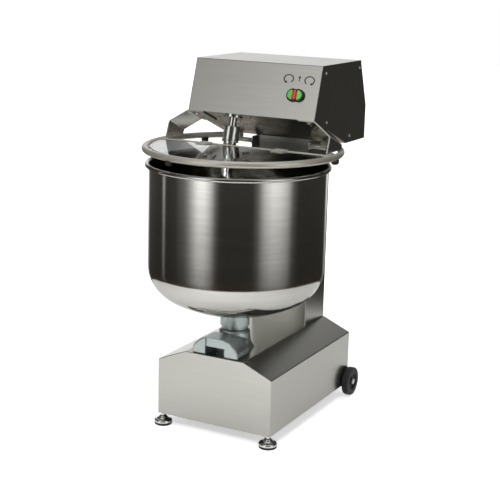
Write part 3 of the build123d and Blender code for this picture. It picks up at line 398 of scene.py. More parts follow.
def even_shading(piece):
    """Keeps broad flat faces flat next to their rounded edges."""
    shade = piece.modifiers.new("even shading", "WEIGHTED_NORMAL")
    shade.keep_sharp = True
    shade.weight = 80
    return piece


def casing(bm, name, grain, nodes, sharp=30, normals=True):
    """A piece of the brushed casing, its grain along one axis."""
    made_of = casing_steel(grain)
    piece = finished(bm, name, made_of, "machine", nodes, sharp, normals)
    return even_shading(piece)


def dress(node, made_of):
    """Gives a CAD node that stays visible its material."""
    mesh = frame["nodes"][node].data
    mesh.materials.clear()
    mesh.materials.append(made_of)


# ---------------------------------------------------------------- base and column
ROOF_HALF = 102.5 * MM
ROOF_Z = BASE_HIGH.z
SIDE_TOP_Z = 218.5 * MM
SHEET = 2.5 * MM
BASE_NODES = ["base_cover", "base_front_panel", "base_rear_panel"]


class MIXER_OT_base_casing(bpy.types.Operator):
    """Folded column casing and the brackets for the guard"""

    bl_idname = "mixer.base_casing"
    bl_label = "Base casing"

    def execute(self, context):
        low, high = BASE_LOW, BASE_HIGH
        outline = [
            (low.x, low.z), (low.x, SIDE_TOP_Z), (-ROOF_HALF, ROOF_Z),
            (ROOF_HALF, ROOF_Z), (high.x, SIDE_TOP_Z), (high.x, low.z),
        ]
        bm = bmesh.new()
        prism(bm, [(x, low.y, z) for x, z in outline], (0, high.y - low.y, 0))
        bottom = [f for f in bm.faces if f.calc_center_median().z < low.z + MM]
        bmesh.ops.delete(bm, geom=bottom, context="FACES_ONLY")
        folds = [e for e in bm.edges if not e.is_boundary]
        rounded(bm, folds, sizes().fold, 3)
        bmesh.ops.recalc_face_normals(bm, faces=bm.faces)
        bmesh.ops.solidify(bm, geom=bm.faces[:], thickness=SHEET)
        piece = casing(bm, "base_casing", "X", BASE_NODES)
        # grain runs along the sides on the long panels
        piece.data.materials.append(casing_steel("Y"))
        for poly in piece.data.polygons:
            poly.material_index = 0 if abs(poly.normal.y) > 0.7 else 1
        return {"FINISHED"}


class MIXER_OT_column_casing(bpy.types.Operator):
    """Folded column casing, the brackets for the guard and their bolts"""

    bl_idname = "mixer.column_casing"
    bl_label = "Column casing"

    def execute(self, context):
        low, high = COLUMN_LOW, COLUMN_HIGH
        bm = bmesh.new()
        corners = ((low.x, low.y), (high.x, low.y), (high.x, high.y), (low.x, high.y))
        prism(bm, [(x, y, low.z) for x, y in corners], (0, 0, high.z - low.z))
        ends = [f for f in bm.faces if abs(f.normal.z) > 0.9]
        bmesh.ops.delete(bm, geom=ends, context="FACES_ONLY")
        rounded(bm, [e for e in bm.edges if not e.is_boundary], sizes().fold, 3)
        bmesh.ops.recalc_face_normals(bm, faces=bm.faces)
        bmesh.ops.solidify(bm, geom=bm.faces[:], thickness=SHEET)
        casing(bm, "column_casing", "Z", ["column_cover"])
        for name in ("left", "right"):
            node = f"column_cheek_{name}"
            low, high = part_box(node)
            bm = bmesh.new()
            corners = ((low.y, low.z), (high.y, low.z), (high.y, high.z), (low.y, high.z))
            edges = prism(bm, [(low.x, y, z) for y, z in corners], (high.x - low.x, 0, 0))
            across = [e for e in edges if abs((e.verts[0].co - e.verts[1].co).x) > MM]
            rounded(bm, across, 8 * MM, 5)
            rounded(bm, bm.edges[:], sizes().sheet_edge, 2)
            casing(bm, f"guard_bracket_{name}", "Y", [node], sharp=38)
        return {"FINISHED"}


# ---------------------------------------------------------------- head
HEAD_OUTLINE = [  # (Y, Z) round the head's side, from the front's lower corner upwards
    (HEAD_LOW.y, 983 * MM),
    (12 * MM, HEAD_HIGH.z),
    (300 * MM, HEAD_HIGH.z),
    (HEAD_HIGH.y, 996 * MM),
    (HEAD_HIGH.y, HEAD_LOW.z),
]
FLOOR_FRONT = (204.5 * MM, HEAD_LOW.z)
FRONT_LOW = Vector((0, *HEAD_OUTLINE[0]))
FRONT_TOP = Vector((0, *HEAD_OUTLINE[1]))
FRONT_UP = (FRONT_TOP - FRONT_LOW).normalized()
FRONT_OUT = -PRESS
FLOOR_DOWN = (Vector((0, *FLOOR_FRONT)) - FRONT_LOW).normalized()
FLOOR_OUT = Vector((0, FLOOR_DOWN.z, -FLOOR_DOWN.y))
LOUVRES = 5
LOUVRE_TOP = (142 * MM, 1084 * MM)
LOUVRE_STEP = 24 * MM
LOUVRE_HALF = 36 * MM
LOUVRE_HEIGHT = 12 * MM
LOUVRE_PROUD = 3.8 * MM


def louvre(bm, y, z, face_x, side):
    """One pressed louvre: a rounded hood, open underneath, standing off the panel."""
    rows = []
    for i in range(7):
        t = i / 6
        height = LOUVRE_HEIGHT * (0.5 - t)
        proud = LOUVRE_PROUD * sin(t * pi / 2) ** 0.8
        row = []
        for k in range(13):
            s = -1 + 2 * k / 12
            fall = max(0.0, 1 - abs(s) ** 5)
            row.append(
                bm.verts.new((face_x + side * (proud * fall - 0.05 * MM), y + s * LOUVRE_HALF, z + height))
            )
        rows.append(row)
    for low_row, high_row in zip(rows, rows[1:]):
        for k in range(12):
            bm.faces.new((low_row[k], low_row[k + 1], high_row[k + 1], high_row[k]))


class MIXER_OT_head_casing(bpy.types.Operator):
    """Head cover, side panels with pressed louvres, and the sloped underside"""

    bl_idname = "mixer.head_casing"
    bl_label = "Head casing"

    def execute(self, context):
        half = HEAD_HIGH.x
        bm = bmesh.new()
        verts = [bm.verts.new((-half, y, z)) for y, z in HEAD_OUTLINE]
        edges = [bm.edges.new(pair) for pair in zip(verts, verts[1:])]
        result = bmesh.ops.extrude_edge_only(bm, edges=edges)
        moved = [g for g in result["geom"] if isinstance(g, bmesh.types.BMVert)]
        bmesh.ops.translate(bm, verts=moved, vec=(2 * half, 0, 0))
        folds = [e for e in bm.edges if len(e.link_faces) == 2]
        rounded(bm, folds, sizes().fold, 3)
        bmesh.ops.recalc_face_normals(bm, faces=bm.faces)
        front = min(bm.faces, key=lambda f: f.calc_center_median().y)
        if front.normal.dot(FRONT_OUT) < 0:
            bmesh.ops.reverse_faces(bm, faces=bm.faces)
        bmesh.ops.solidify(bm, geom=bm.faces[:], thickness=SHEET)
        casing(bm, "head_casing", "X", ["head_cover"], normals=False)
        for name, side in (("left", -1), ("right", 1)):
            node = f"head_side_panel_{name}"
            inner = side * (HEAD_HIGH.x + 0.1 * MM)
            face_x = side * 219 * MM
            bm = bmesh.new()
            edges = prism(
                bm, [(inner, y, z) for y, z in HEAD_OUTLINE + [FLOOR_FRONT]], (face_x - inner, 0, 0)
            )
            rim = [
                e for e in edges
                if abs(e.verts[0].co.x - face_x) < 1e-6 and abs(e.verts[1].co.x - face_x) < 1e-6
            ]
            rounded(bm, rim, 1.2 * MM, 3)
            for i in range(LOUVRES):
                shift = LOUVRE_STEP * (FRONT_TOP.y - FRONT_LOW.y) / (FRONT_TOP.z - FRONT_LOW.z)
                louvre(bm, LOUVRE_TOP[0] - i * shift, LOUVRE_TOP[1] - i * LOUVRE_STEP, face_x, side)
            bmesh.ops.remove_doubles(bm, verts=bm.verts, dist=1e-6)
            casing(bm, f"head_side_{name}", "Z", [node], sharp=50)
        dress("head_underside_plate", casing_steel("X"))
        return {"FINISHED"}


# ---------------------------------------------------------------- switch
BEZEL_PROUD = 8 * MM
LOBE = 20 * MM
LOBE_X = 9 * MM
BUTTON_PROUD = 12 * MM
START_R = 15 * MM
STOP_HALF = 5.5 * MM
STOP_TALL = 15 * MM


def panel_point(x, up, out):
    """A point by the head's front: x across, up along the panel from its lower edge, out from it."""
    return Vector((x, 0, 0)) + FRONT_LOW + FRONT_UP * up + FRONT_OUT * out


SWITCH_X = (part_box("switch_body")[0].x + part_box("switch_body")[1].x) / 2
SWITCH_UP = (1052 - 983) * MM / FRONT_UP.z


def switch_disc(bm, outline, low, high, edge):
    """A flat shape on the switch, from low to high off the panel, with a rounded top edge."""
    points = [panel_point(SWITCH_X + x, SWITCH_UP + y, low) for x, y in outline]
    before = set(bm.edges)
    face = face_of(bm, points)
    top = pushed(bm, [face], FRONT_OUT * (high - low))
    rim = [e for f in top for e in f.edges]
    rounded(bm, list(set(rim)), edge, 3)
    return [e for e in bm.edges if e not in before]


def two_lobes(radius, offset, count=24):
    """Outline of two overlapping discs side by side."""
    meet = degrees(atan2(sqrt(radius**2 - offset**2), -offset))
    right = arc((offset, 0), radius, -meet, meet, count)
    left = arc((-offset, 0), radius, 180 - meet, 180 + meet, count)
    return right[:-1] + left[:-1]


def start_shape(side):
    """Outline of a start button: a disc cut off beside the stop button."""
    edge = STOP_HALF + 2 * MM
    reach = degrees(atan2(sqrt(START_R**2 - (LOBE_X - edge) ** 2), edge - LOBE_X))
    points = arc((LOBE_X, 0), START_R, -reach, reach, 20)
    return [(side * x, y) for x, y in points][:: side]


def long_round(half, tall, count=8):
    """Outline of an upright slot shape."""
    top = arc((0, tall - half), half, 0, 180, count)
    low = arc((0, half - tall), half, 180, 360, count)
    return top + low


SQUASH = 0.78  # the turning arrows are wider than they are tall


def mark_vert(bm, x, up):
    """A point of a mark, just off the head's front."""
    return bm.verts.new(panel_point(x, up, 0.15 * MM))


class MIXER_OT_front_switch(bpy.types.Operator):
    """Switch body, its three push buttons and the etched arrows above them"""

    bl_idname = "mixer.front_switch"
    bl_label = "Front switch"

    def execute(self, context):
        bm = bmesh.new()
        # collar standing round the buttons, with a recessed floor
        outer = two_lobes(LOBE, LOBE_X)
        inner = two_lobes(LOBE - 3.2 * MM, LOBE_X)
        rings = []
        edge = two_lobes(LOBE - 1.0 * MM, LOBE_X)
        heights = (0.0, BEZEL_PROUD - 1.2 * MM, BEZEL_PROUD, BEZEL_PROUD, 2 * MM)
        for shape, up in zip((outer, outer, edge, inner, inner), heights):
            rings.append([bm.verts.new(panel_point(SWITCH_X + x, SWITCH_UP + y, up)) for x, y in shape])
        for low_ring, high_ring in zip(rings, rings[1:]):
            for k in range(len(low_ring)):
                n = (k + 1) % len(low_ring)
                bm.faces.new((low_ring[k], low_ring[n], high_ring[n], high_ring[k]))
        bm.faces.new(rings[-1])
        bm.faces.new(rings[0])
        finished(bm, "switch_collar", black_plastic(), "machine", ["switch_body"], sharp=40)
        for name, side in (("left", -1), ("right", 1)):
            bm = bmesh.new()
            switch_disc(bm, start_shape(side), 6.3 * MM, BUTTON_PROUD, 1.6 * MM)
            finished(
                bm, f"start_cap_{name}", green_plastic(), f"start_button_{name}",
                [f"start_button_{name}"], sharp=50,
            )
        bm = bmesh.new()
        switch_disc(bm, long_round(STOP_HALF, STOP_TALL), 6.3 * MM, BUTTON_PROUD + 1.5 * MM, 1.6 * MM)
        finished(bm, "stop_cap", red_plastic(), "stop_button", ["stop_button"], sharp=50)
        self.marks()
        return {"FINISHED"}

    def marks(self):
        """Turning arrows over the start buttons and a small pointer over the stop button."""
        bm = bmesh.new()
        for x, z, mirror in ((112, 1100, -1), (182, 1098, 1)):
            centre_x = x * MM
            up = (z - 983) * MM / FRONT_UP.z
            outer = arc((0, 0), 17.5 * MM, -50, 235, 40)
            inner = arc((0, 0), 13.6 * MM, -50, 235, 40)
            lows = []
            for (ox, oy), (ix, iy) in zip(outer, inner):
                pair = ((ox, oy), (ix, iy))
                lows.append([mark_vert(bm, centre_x + mirror * px, up + py * SQUASH) for px, py in pair])
            for a, b in zip(lows, lows[1:]):
                bm.faces.new((a[0], b[0], b[1], a[1]))
            tip = radians(-50)
            root = Vector((cos(tip), sin(tip))) * 15.5 * MM
            across = Vector((cos(tip), sin(tip))) * 5.5 * MM
            along = Vector((sin(tip), -cos(tip))) * 9.5 * MM
            head = [root + across, root - across, root + along]
            bm.faces.new([mark_vert(bm, centre_x + mirror * h.x, up + h.y * SQUASH) for h in head])
        up = (1103 - 983) * MM / FRONT_UP.z
        pointer = [(-1.6, 9), (1.6, 9), (1.6, -1), (4.4, -1), (0, -9), (-4.4, -1), (-1.6, -1)]
        bm.faces.new([mark_vert(bm, (148 + x) * MM, up - y * MM) for x, y in pointer])
        bmesh.ops.recalc_face_normals(bm, faces=bm.faces)
        for face in bm.faces:
            if face.normal.dot(FRONT_OUT) < 0:
                face.normal_flip()
        finished(bm, "turning_marks", etched_ink(), "machine", normals=False)


# ---------------------------------------------------------------- bowl
BOWL_R = 273.5 * MM
BOWL_TOP = 839 * MM
CORNER = 114 * MM
CORNER_AT = (159.5 * MM, 524.5 * MM)
CROWN = 451.6 * MM
CROWN_Z = 821.9 * MM


def bowl_profile(inset):
    """Half profile of the bowl's body from the middle of its bottom to its rim."""
    crown = CROWN - inset
    corner = CORNER - inset
    flat_z = BOWL_LOW.z + inset
    start = degrees(atan2(flat_z - CROWN_Z, sqrt(crown**2 - (CROWN_Z - flat_z) ** 2)))
    turn = degrees(atan2(CORNER_AT[1] - CROWN_Z, CORNER_AT[0]))
    points = [(0, flat_z)]
    points += arc((0, CROWN_Z), crown, start, turn, 16)
    points += arc(CORNER_AT, corner, turn, 0, 20)[1:]
    points += [(BOWL_R - inset, CORNER_AT[1] + (BOWL_TOP - CORNER_AT[1]) * i / 6) for i in range(1, 7)]
    return points


class MIXER_OT_bowl(bpy.types.Operator):
    """Spun bowl with a rolled bead, and the hub it sits on"""

    bl_idname = "mixer.bowl"
    bl_label = "Bowl"

    def execute(self, context):
        origin = Vector((BOWL_AXIS.x, BOWL_AXIS.y, 0))
        bead = sizes().bead
        outer = bowl_profile(0)
        inner = bowl_profile(sizes().bowl_wall)
        outer[-1] = (outer[-1][0], BOWL_TOP - 3.4 * MM)
        roll = arc((279 * MM, BOWL_TOP), bead, 212, -150, 30)
        inner[-1] = (inner[-1][0], BOWL_TOP - 2 * MM)
        profile = outer + roll + inner[::-1]
        bm = bmesh.new()
        lathed(bm, profile, origin, UP, ACROSS, 192)
        finished(bm, "bowl_body", bowl_steel(), "bowl", ["bowl"], sharp=60)
        low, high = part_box("bowl_hub")
        hub = [
            (0, low.z), (39 * MM, low.z), (40 * MM, low.z + MM), (40 * MM, low.z + 6 * MM),
            (45 * MM, low.z + 8.5 * MM), (46 * MM, low.z + 10 * MM), (46 * MM, high.z - 9 * MM),
            (47 * MM, high.z - 6 * MM), (49 * MM, high.z - 3 * MM), (49 * MM, high.z - 0.2 * MM),
            (0, high.z - 0.2 * MM),
        ]
        bm = bmesh.new()
        lathed(bm, hub, origin, UP, ACROSS, 96)
        finished(bm, "bowl_hub_turned", cast_aluminium(), "bowl", ["bowl_hub"], sharp=30)
        return {"FINISHED"}


class MIXER_OT_bearing_housing(bpy.types.Operator):
    """Cast housing under the bowl: a slotted front block blended into a round neck"""

    bl_idname = "mixer.bearing_housing"
    bl_label = "Bearing housing"

    def execute(self, context):
        low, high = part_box("bowl_bearing_housing")
        roof = BASE_HIGH.z
        bm = bmesh.new()
        front, rear = low.y, low.y + 79 * MM
        half = in_mm((80, 260), (78, 283), (72, 292), (52, 309), (44, 313))
        shoulder = [(-x, z) for x, z in half] + half[::-1]
        edges = prism(bm, [(x, front, z) for x, z in shoulder], (0, rear - front, 0))
        rounded(bm, [e for e in edges if abs(e.calc_face_angle(0)) > 0.3], 4 * MM, 3)
        block = bpy.data.meshes.new("block")
        bmesh.ops.recalc_face_normals(bm, faces=bm.faces)
        bm.to_mesh(block)
        bm.free()
        bm = bmesh.new()
        origin = Vector((BOWL_AXIS.x, BOWL_AXIS.y, 0))
        neck = [(0, high.z), (34 * MM, high.z), (37 * MM, high.z - 0.6 * MM)]
        neck += arc((37 * MM, high.z - 12.6 * MM), 12 * MM, 85, 5, 8)
        neck += in_mm((49, 305), (50, 292), (52, 278), (57, 268), (64, 260))
        neck += [(46 * MM, roof), (46 * MM, low.z), (0, low.z)]
        lathed(bm, neck, origin, UP, ACROSS, 96)
        bm.from_mesh(block)
        bpy.data.meshes.remove(block)
        # bridge of metal between the block and the neck
        half = in_mm((50, 260.5), (50, 292), (42, 302))
        bridge = [(-x, z) for x, z in half] + half[::-1]
        prism(bm, [(x, -155 * MM, z) for x, z in bridge], (0, 50 * MM, 0))
        nodes = ["bowl_bearing_housing"]
        piece = finished(bm, "bearing_housing_cast", cast_aluminium(), "machine", nodes, 60)
        skin = piece.modifiers.new("one skin", "REMESH")
        skin.mode = "VOXEL"
        skin.voxel_size = 1.5 * MM
        skin.use_smooth_shade = True
        cut = bpy.data.meshes.new("slot_cut")
        bm = bmesh.new()
        for bottom, top, deep in ((255, 287, 74), (280, 330, 10)):
            corners = in_mm((-34, bottom), (34, bottom), (34, top), (-34, top))
            prism(bm, [(x, front - 5 * MM, z) for x, z in corners], (0, deep * MM, 0))
        bmesh.ops.recalc_face_normals(bm, faces=bm.faces)
        bm.to_mesh(cut)
        bm.free()
        cutter = bpy.data.objects.new("slot_cut", cut)
        context.scene.collection.objects.link(cutter)
        soft = piece.modifiers.new("cast corners", "SMOOTH")
        soft.factor = 0.5
        soft.iterations = 5
        hole = piece.modifiers.new("slot", "BOOLEAN")
        hole.operation = "DIFFERENCE"
        hole.solver = "EXACT"
        hole.use_self = True
        hole.object = cutter
        applied(piece)
        bpy.data.objects.remove(cutter)
        return {"FINISHED"}


def applied(piece):
    """Replaces a piece's mesh by what its modifiers make of it."""
    bpy.context.view_layer.update()
    graph = bpy.context.evaluated_depsgraph_get()
    mesh = bpy.data.meshes.new_from_object(piece.evaluated_get(graph))
    piece.modifiers.clear()
    old = piece.data
    piece.data = mesh
    bpy.data.meshes.remove(old)
    for poly in mesh.polygons:
        poly.use_smooth = True
    mesh.set_sharp_from_angle(angle=radians(55))


# ---------------------------------------------------------------- guard, arms and lid
RING_CENTRE = Vector((0, LID_AXIS.y, 884 * MM))
RING_R = 300 * MM
BUMPER_R = 11.9 * MM
STUB_Y = 183 * MM
STUB_Z = 870 * MM


def on_ring(angle, radius):
    """A point round the guard's middle, the angle in degrees from +X."""
    return RING_CENTRE + Vector((cos(radians(angle)), sin(radians(angle)), 0)) * radius


def swept_ring(bm, centre, radius, tube, start, sweep, steps, sides=24):
    """A round tube bent round part of a circle."""
    begin = Vector((cos(start), sin(start), 0))
    at = centre + begin * radius
    turn = Matrix.Translation(at) @ Matrix.Rotation(start, 4, "Z") @ Matrix.Rotation(pi / 2, 4, "X")
    made = bmesh.ops.create_circle(bm, cap_ends=False, radius=tube, segments=sides, matrix=turn)
    loop = list({e for v in made["verts"] for e in v.link_edges})
    bmesh.ops.spin(
        bm, geom=made["verts"] + loop, cent=centre, axis=(0, 0, 1), angle=sweep, steps=steps
    )


def rod(bm, start, end, radius, sides=24, edge=0.0):
    """A round bar between two points, closed at both ends."""
    start, end = Vector(start), Vector(end)
    axis = (end - start).normalized()
    across = axis.orthogonal().normalized()
    span = (end - start).length
    side = [(radius, 0), (radius, span)]
    if edge:
        side = [(radius - edge, 0), (radius, edge), (radius, span - edge), (radius - edge, span)]
    lathed(bm, [(0, 0)] + side + [(0, span)], start, axis, across, sides)


def hex_bolt(bm, at, out, flats, tall, washer=0.0):
    """A hexagon head with a chamfered top, on a washer, standing out of a surface."""
    out = Vector(out).normalized()
    across = out.orthogonal().normalized()
    spot = Vector(at)
    if washer:
        rod(bm, spot, spot + out * 1.4 * MM, washer, 28, 0.3 * MM)
        spot = spot + out * 1.4 * MM
    corner = flats / sqrt(3)
    points = [spot + Matrix.Rotation(k * pi / 3, 3, out) @ (across * corner) for k in range(6)]
    edges = prism(bm, points, out * tall)
    top = [e for e in edges if e.is_valid and all((v.co - spot).dot(out) > tall * 0.9 for v in e.verts)]
    rounded(bm, top, 0.9 * MM, 2)


class MIXER_OT_guard(bpy.types.Operator):
    """Round tube guard, its lugs and stubs, the arms that carry it, the hinge rod and bumpers"""

    bl_idname = "mixer.guard"
    bl_label = "Guard"

    def execute(self, context):
        tube = sizes().guard_tube
        bm = bmesh.new()
        swept_ring(bm, RING_CENTRE, RING_R, tube, radians(120), radians(300), 150)
        for side in (-1, 1):
            end = RING_CENTRE + Vector((side * RING_R * 0.5, RING_R * sqrt(0.75), 0))
            bmesh.ops.create_uvsphere(
                bm, u_segments=24, v_segments=12, radius=tube, matrix=Matrix.Translation(end)
            )
            # the stub, and the welding collar where it meets its bracket
            for reach, radius in ((160, 8), (107, 10.5)):
                ends = ((side * x * MM, STUB_Y, STUB_Z) for x in (104.2, reach))
                rod(bm, *ends, radius * MM, 24, MM)
            edges = prism(
                bm,
                [(side * 275 * MM, y * MM, 884 * MM) for y in (-66, -42)]
                + [(side * 275 * MM, y * MM, 894.5 * MM) for y in (-42, -66)],
                (side * 16 * MM, 0, 0),
            )
            rounded(bm, edges, MM, 2)
        for angle in (210, 270, 330):
            spot = on_ring(angle, 284 * MM)
            at = Matrix.Translation((spot.x, spot.y, 882.5 * MM)) @ Matrix.Rotation(radians(angle), 4, "Z")
            made = bmesh.ops.create_cube(bm, size=1, matrix=at @ Matrix.Diagonal((17 * MM, 20 * MM, 6 * MM, 1)))
            rounded(bm, list({e for v in made["verts"] for e in v.link_edges}), 1.5 * MM, 2)
        finished(bm, "guard_tube", satin_tube(), "machine", ["guard_ring"], sharp=50)

        bm = bmesh.new()
        low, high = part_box("lid_hinge_rod")
        rod(bm, (low.x, LID_AXIS.y, LID_AXIS.z), (high.x, LID_AXIS.y, LID_AXIS.z), 4.5 * MM, 24)
        finished(bm, "hinge_rod", satin_tube(), "machine", ["lid_hinge_rod"], sharp=40)

        for name, side in (("left", -1), ("right", 1)):
            self.arm(name, side)

        bm = bmesh.new()
        for angle in (143, 4, 253):
            spot = on_ring(angle, RING_R)
            low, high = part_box("guard_bumpers")
            wide, tall = BUMPER_R, high.z - low.z
            dome = [(0, 0), (wide * 0.55, 0.4 * MM), (wide * 0.85, 2 * MM), (wide, 6 * MM)]
            lathed(bm, dome + [(wide, tall), (0, tall)], (spot.x, spot.y, low.z), UP, ACROSS, 28)
        finished(bm, "guard_buffers", black_rubber(), "machine", ["guard_bumpers"], sharp=50)
        return {"FINISHED"}

    def arm(self, name, side):
        """One bent sheet arm from the head's underside down to the ring."""
        node = f"guard_arm_{name}"
        outline = [(165, 0), (221, 0), (281, 41.5), (281, 112)]
        bm = bmesh.new()
        verts = [
            bm.verts.new(FRONT_LOW + Vector((side * x * MM, 0, 0)) + FLOOR_OUT * w * MM) for x, w in outline
        ]
        edges = [bm.edges.new(pair) for pair in zip(verts, verts[1:])]
        result = bmesh.ops.extrude_edge_only(bm, edges=edges)
        moved = [g for g in result["geom"] if isinstance(g, bmesh.types.BMVert)]
        bmesh.ops.translate(bm, verts=moved, vec=FLOOR_DOWN * 96 * MM)
        rounded(bm, [e for e in bm.edges if len(e.link_faces) == 2], 5 * MM, 4)
        bmesh.ops.recalc_face_normals(bm, faces=bm.faces)
        outer = max(bm.faces, key=lambda f: side * f.calc_center_median().x)
        if outer.normal.x * side < 0:
            bmesh.ops.reverse_faces(bm, faces=bm.faces)
        bmesh.ops.solidify(bm, geom=bm.faces[:], thickness=4 * MM)
        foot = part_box(node)[0].z
        bmesh.ops.bisect_plane(
            bm, geom=bm.verts[:] + bm.edges[:] + bm.faces[:], plane_co=(0, 0, foot), plane_no=(0, 0, -1),
            clear_outer=True,
        )
        bmesh.ops.holes_fill(bm, edges=[e for e in bm.edges if e.is_boundary], sides=0)
        casing(bm, f"guard_arm_sheet_{name}", "Z", [node])


class MIXER_OT_clear_lid(bpy.types.Operator):
    """Clear half-round lid with polished edges and its hinge barrels"""

    bl_idname = "mixer.clear_lid"
    bl_label = "Clear lid"

    def execute(self, context):
        low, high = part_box("clear_lid")
        radius = 284 * MM
        rear = high.y
        shoulder = (268 * MM, -103 * MM)
        forward = shoulder[1] - RING_CENTRE.y
        start = degrees(atan2(forward, sqrt(radius**2 - forward**2)))
        curve = arc((0, RING_CENTRE.y), radius, 180 - start, 360 + start, 120)
        points = [(-shoulder[0], rear)] + [(-shoulder[0], shoulder[1])] + curve
        points += [(shoulder[0], shoulder[1]), (shoulder[0], rear)]
        bm = bmesh.new()
        prism(bm, [(x, y, low.z) for x, y in points], (0, 0, high.z - low.z))
        bmesh.ops.remove_doubles(bm, verts=bm.verts, dist=1e-5)
        level = [e for e in bm.edges if abs(e.verts[0].co.z - e.verts[1].co.z) < 1e-6]
        rounded(bm, [e for e in level if e.calc_face_angle(0) > 1.0], 0.6 * MM, 2)
        sheet = clear_polycarbonate("clear_polycarbonate")
        even_shading(finished(bm, "lid_sheet", sheet, "lid", ["clear_lid"], sharp=40))
        bm = bmesh.new()
        knuckle_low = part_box("lid_knuckles")[0]
        for side in (-1, 1):
            start_x, end_x = sorted((side * 110 * MM, side * 150 * MM))
            bore, outside = 4.55 * MM, 7.5 * MM
            wide = end_x - start_x
            profile = [(bore, 0), (outside - MM, 0), (outside, MM), (outside, wide - MM)]
            profile += [(outside - MM, wide), (bore, wide), (bore, 0)]
            lathed(bm, profile, (start_x, LID_AXIS.y, LID_AXIS.z), (1, 0, 0), (0, 1, 0), 32)
            edges = prism(
                bm,
                [(start_x, knuckle_low.y, high.z), (end_x, knuckle_low.y, high.z),
                 (end_x, LID_AXIS.y - 7 * MM, high.z), (start_x, LID_AXIS.y - 7 * MM, high.z)],
                (0, 0, 2.5 * MM),
            )
            rounded(bm, edges, 0.6 * MM, 2)
            for x in (start_x + 10 * MM, end_x - 10 * MM):
                hex_bolt(bm, (x, knuckle_low.y + 10 * MM, high.z + 2.5 * MM), (0, 0, 1), 7 * MM, 0.9 * MM)
        finished(bm, "lid_barrels", satin_tube(), "lid", ["lid_knuckles"], sharp=40)
        return {"FINISHED"}


# ---------------------------------------------------------------- tool
# (radius, height) in mm along the tool's axis, from the coupling's middle
SOCKET_PROFILE = (
    (17.05, -44), (19, -44), (20.2, -43), (20.5, -42), (20.5, -8), (20.2, -7), (20.2, -5), (20.5, -4),
    (20.5, 50), (12.5, 50), (12.5, 4), (0, 4), (0, 0), (17.05, 0), (17.05, -44),
)
SLEEVE_PROFILE = (
    (20.8, 4), (26, 4), (27, 5), (27, 8), (26.2, 8.6), (25.6, 9.4), (25.5, 10.5), (25.5, 43),
    (24.9, 43.6), (24.9, 45), (25.5, 45.6), (25.5, 50.5), (24.8, 52), (23.4, 52.7), (20.8, 52.7), (20.8, 4),
)


class MIXER_OT_tool_coupling(bpy.types.Operator):
    """Spindle, socket with its cross pin, and the sprung sleeve"""

    bl_idname = "mixer.tool_coupling"
    bl_label = "Tool coupling"

    def execute(self, context):
        for name, body, profile, steps in (
            ("coupling_socket", "tool", SOCKET_PROFILE, 64),
            ("coupling_sleeve", "sleeve", SLEEVE_PROFILE, 72),
        ):
            bm = bmesh.new()
            lathed(bm, in_mm(*profile), TOOL_POINT, TOOL_AXIS, ACROSS, steps)
            finished(bm, f"{name}_turned", turned_steel(), body, [name], sharp=30)
        bm = bmesh.new()
        pin_at = TOOL_POINT + TOOL_AXIS * -22 * MM
        rod(bm, pin_at - Vector((24 * MM, 0, 0)), pin_at + Vector((24 * MM, 0, 0)), 4 * MM, 24, 1 * MM)
        finished(bm, "cross_pin", screw_steel(), "tool", ["coupling_pin"], sharp=30)
        dress("tool_spindle", turned_steel())
        dress("mixing_tool", turned_steel())
        return {"FINISHED"}


# ---------------------------------------------------------------- fasteners
class MIXER_OT_fasteners(bpy.types.Operator):
    """Hexagon bolts under the head and on the brackets, and domed screws on the side panels"""

    bl_idname = "mixer.fasteners"
    bl_label = "Fasteners"

    def execute(self, context):
        under = []
        for side in (-1, 1):
            for down in (14, 76):
                spot = FRONT_LOW + Vector((side * 196 * MM, 0, 0)) + FLOOR_DOWN * down * MM
                under.append((spot + FLOOR_OUT * 4 * MM, FLOOR_OUT))
        self.bolts("arm_bolts", "guard_arm_bolts", under, (13, 4.4, 7.6))
        under = []
        for x, y in ((-134, 11), (-103, 71), (-80, 78.5), (-68, 80.5), (-18, 11)):
            down = (y * MM - FRONT_LOW.y) / FLOOR_DOWN.y
            under.append((FRONT_LOW + Vector((x * MM, 0, 0)) + FLOOR_DOWN * down, FLOOR_OUT))
        self.bolts("underside_bolt_heads", "underside_bolts", under, (10, 3, 5.8))
        beside = [((side * 104.2 * MM, 244 * MM, 861 * MM), (side, 0, 0)) for side in (-1, 1)]
        self.bolts("bracket_bolts", "cheek_bolts", beside, (11, 2.8, 7.2))
        bm = bmesh.new()
        dome = in_mm(
            (0, 2.4), (1.2, 2.35), (1.2, 1.5), (2.2, 1.5), (2.2, 2.1), (3.4, 1.5), (4.4, 0.4), (4.5, 0), (0, 0)
        )
        for side in (-1, 1):
            for y, z in in_mm((53, 969.5), (230.5, 909.5), (36, 1120), (292, 1120)):
                lathed(bm, dome, (side * 219 * MM, y, z), (side, 0, 0), (0, 1, 0), 28)
        made_of, nodes = screw_steel(), ["side_panel_screws"]
        finished(bm, "panel_screws", made_of, "machine", nodes, sharp=30)
        return {"FINISHED"}

    def bolts(self, name, node, places, size):
        """One piece of hexagon heads; the size is across flats, height and washer radius in mm."""
        bm = bmesh.new()
        for at, out in places:
            hex_bolt(bm, at, out, *(value * MM for value in size))
        finished(bm, name, screw_steel(), "machine", [node], sharp=25)


# ---------------------------------------------------------------- wheels and feet
# (radius, distance from the machine's middle) in mm
TYRE_PROFILE = (
    (30, 202), (43, 202), (46.5, 203.2), (48, 206), (48, 222), (46.5, 224.8), (43, 226), (38, 225.4),
    (36, 226), (30, 226), (30, 202),
)
HUB_PROFILE = (
    (5.05, 202), (14, 202), (14, 206), (30, 206), (30, 222), (29, 223.6), (26, 224), (24.5, 222),
    (22, 219), (15, 218.6), (14, 223), (13, 225), (5.05, 225), (5.05, 202),
)
TREAD_ROWS = 112
TREAD_DEPTH = 2.2 * MM


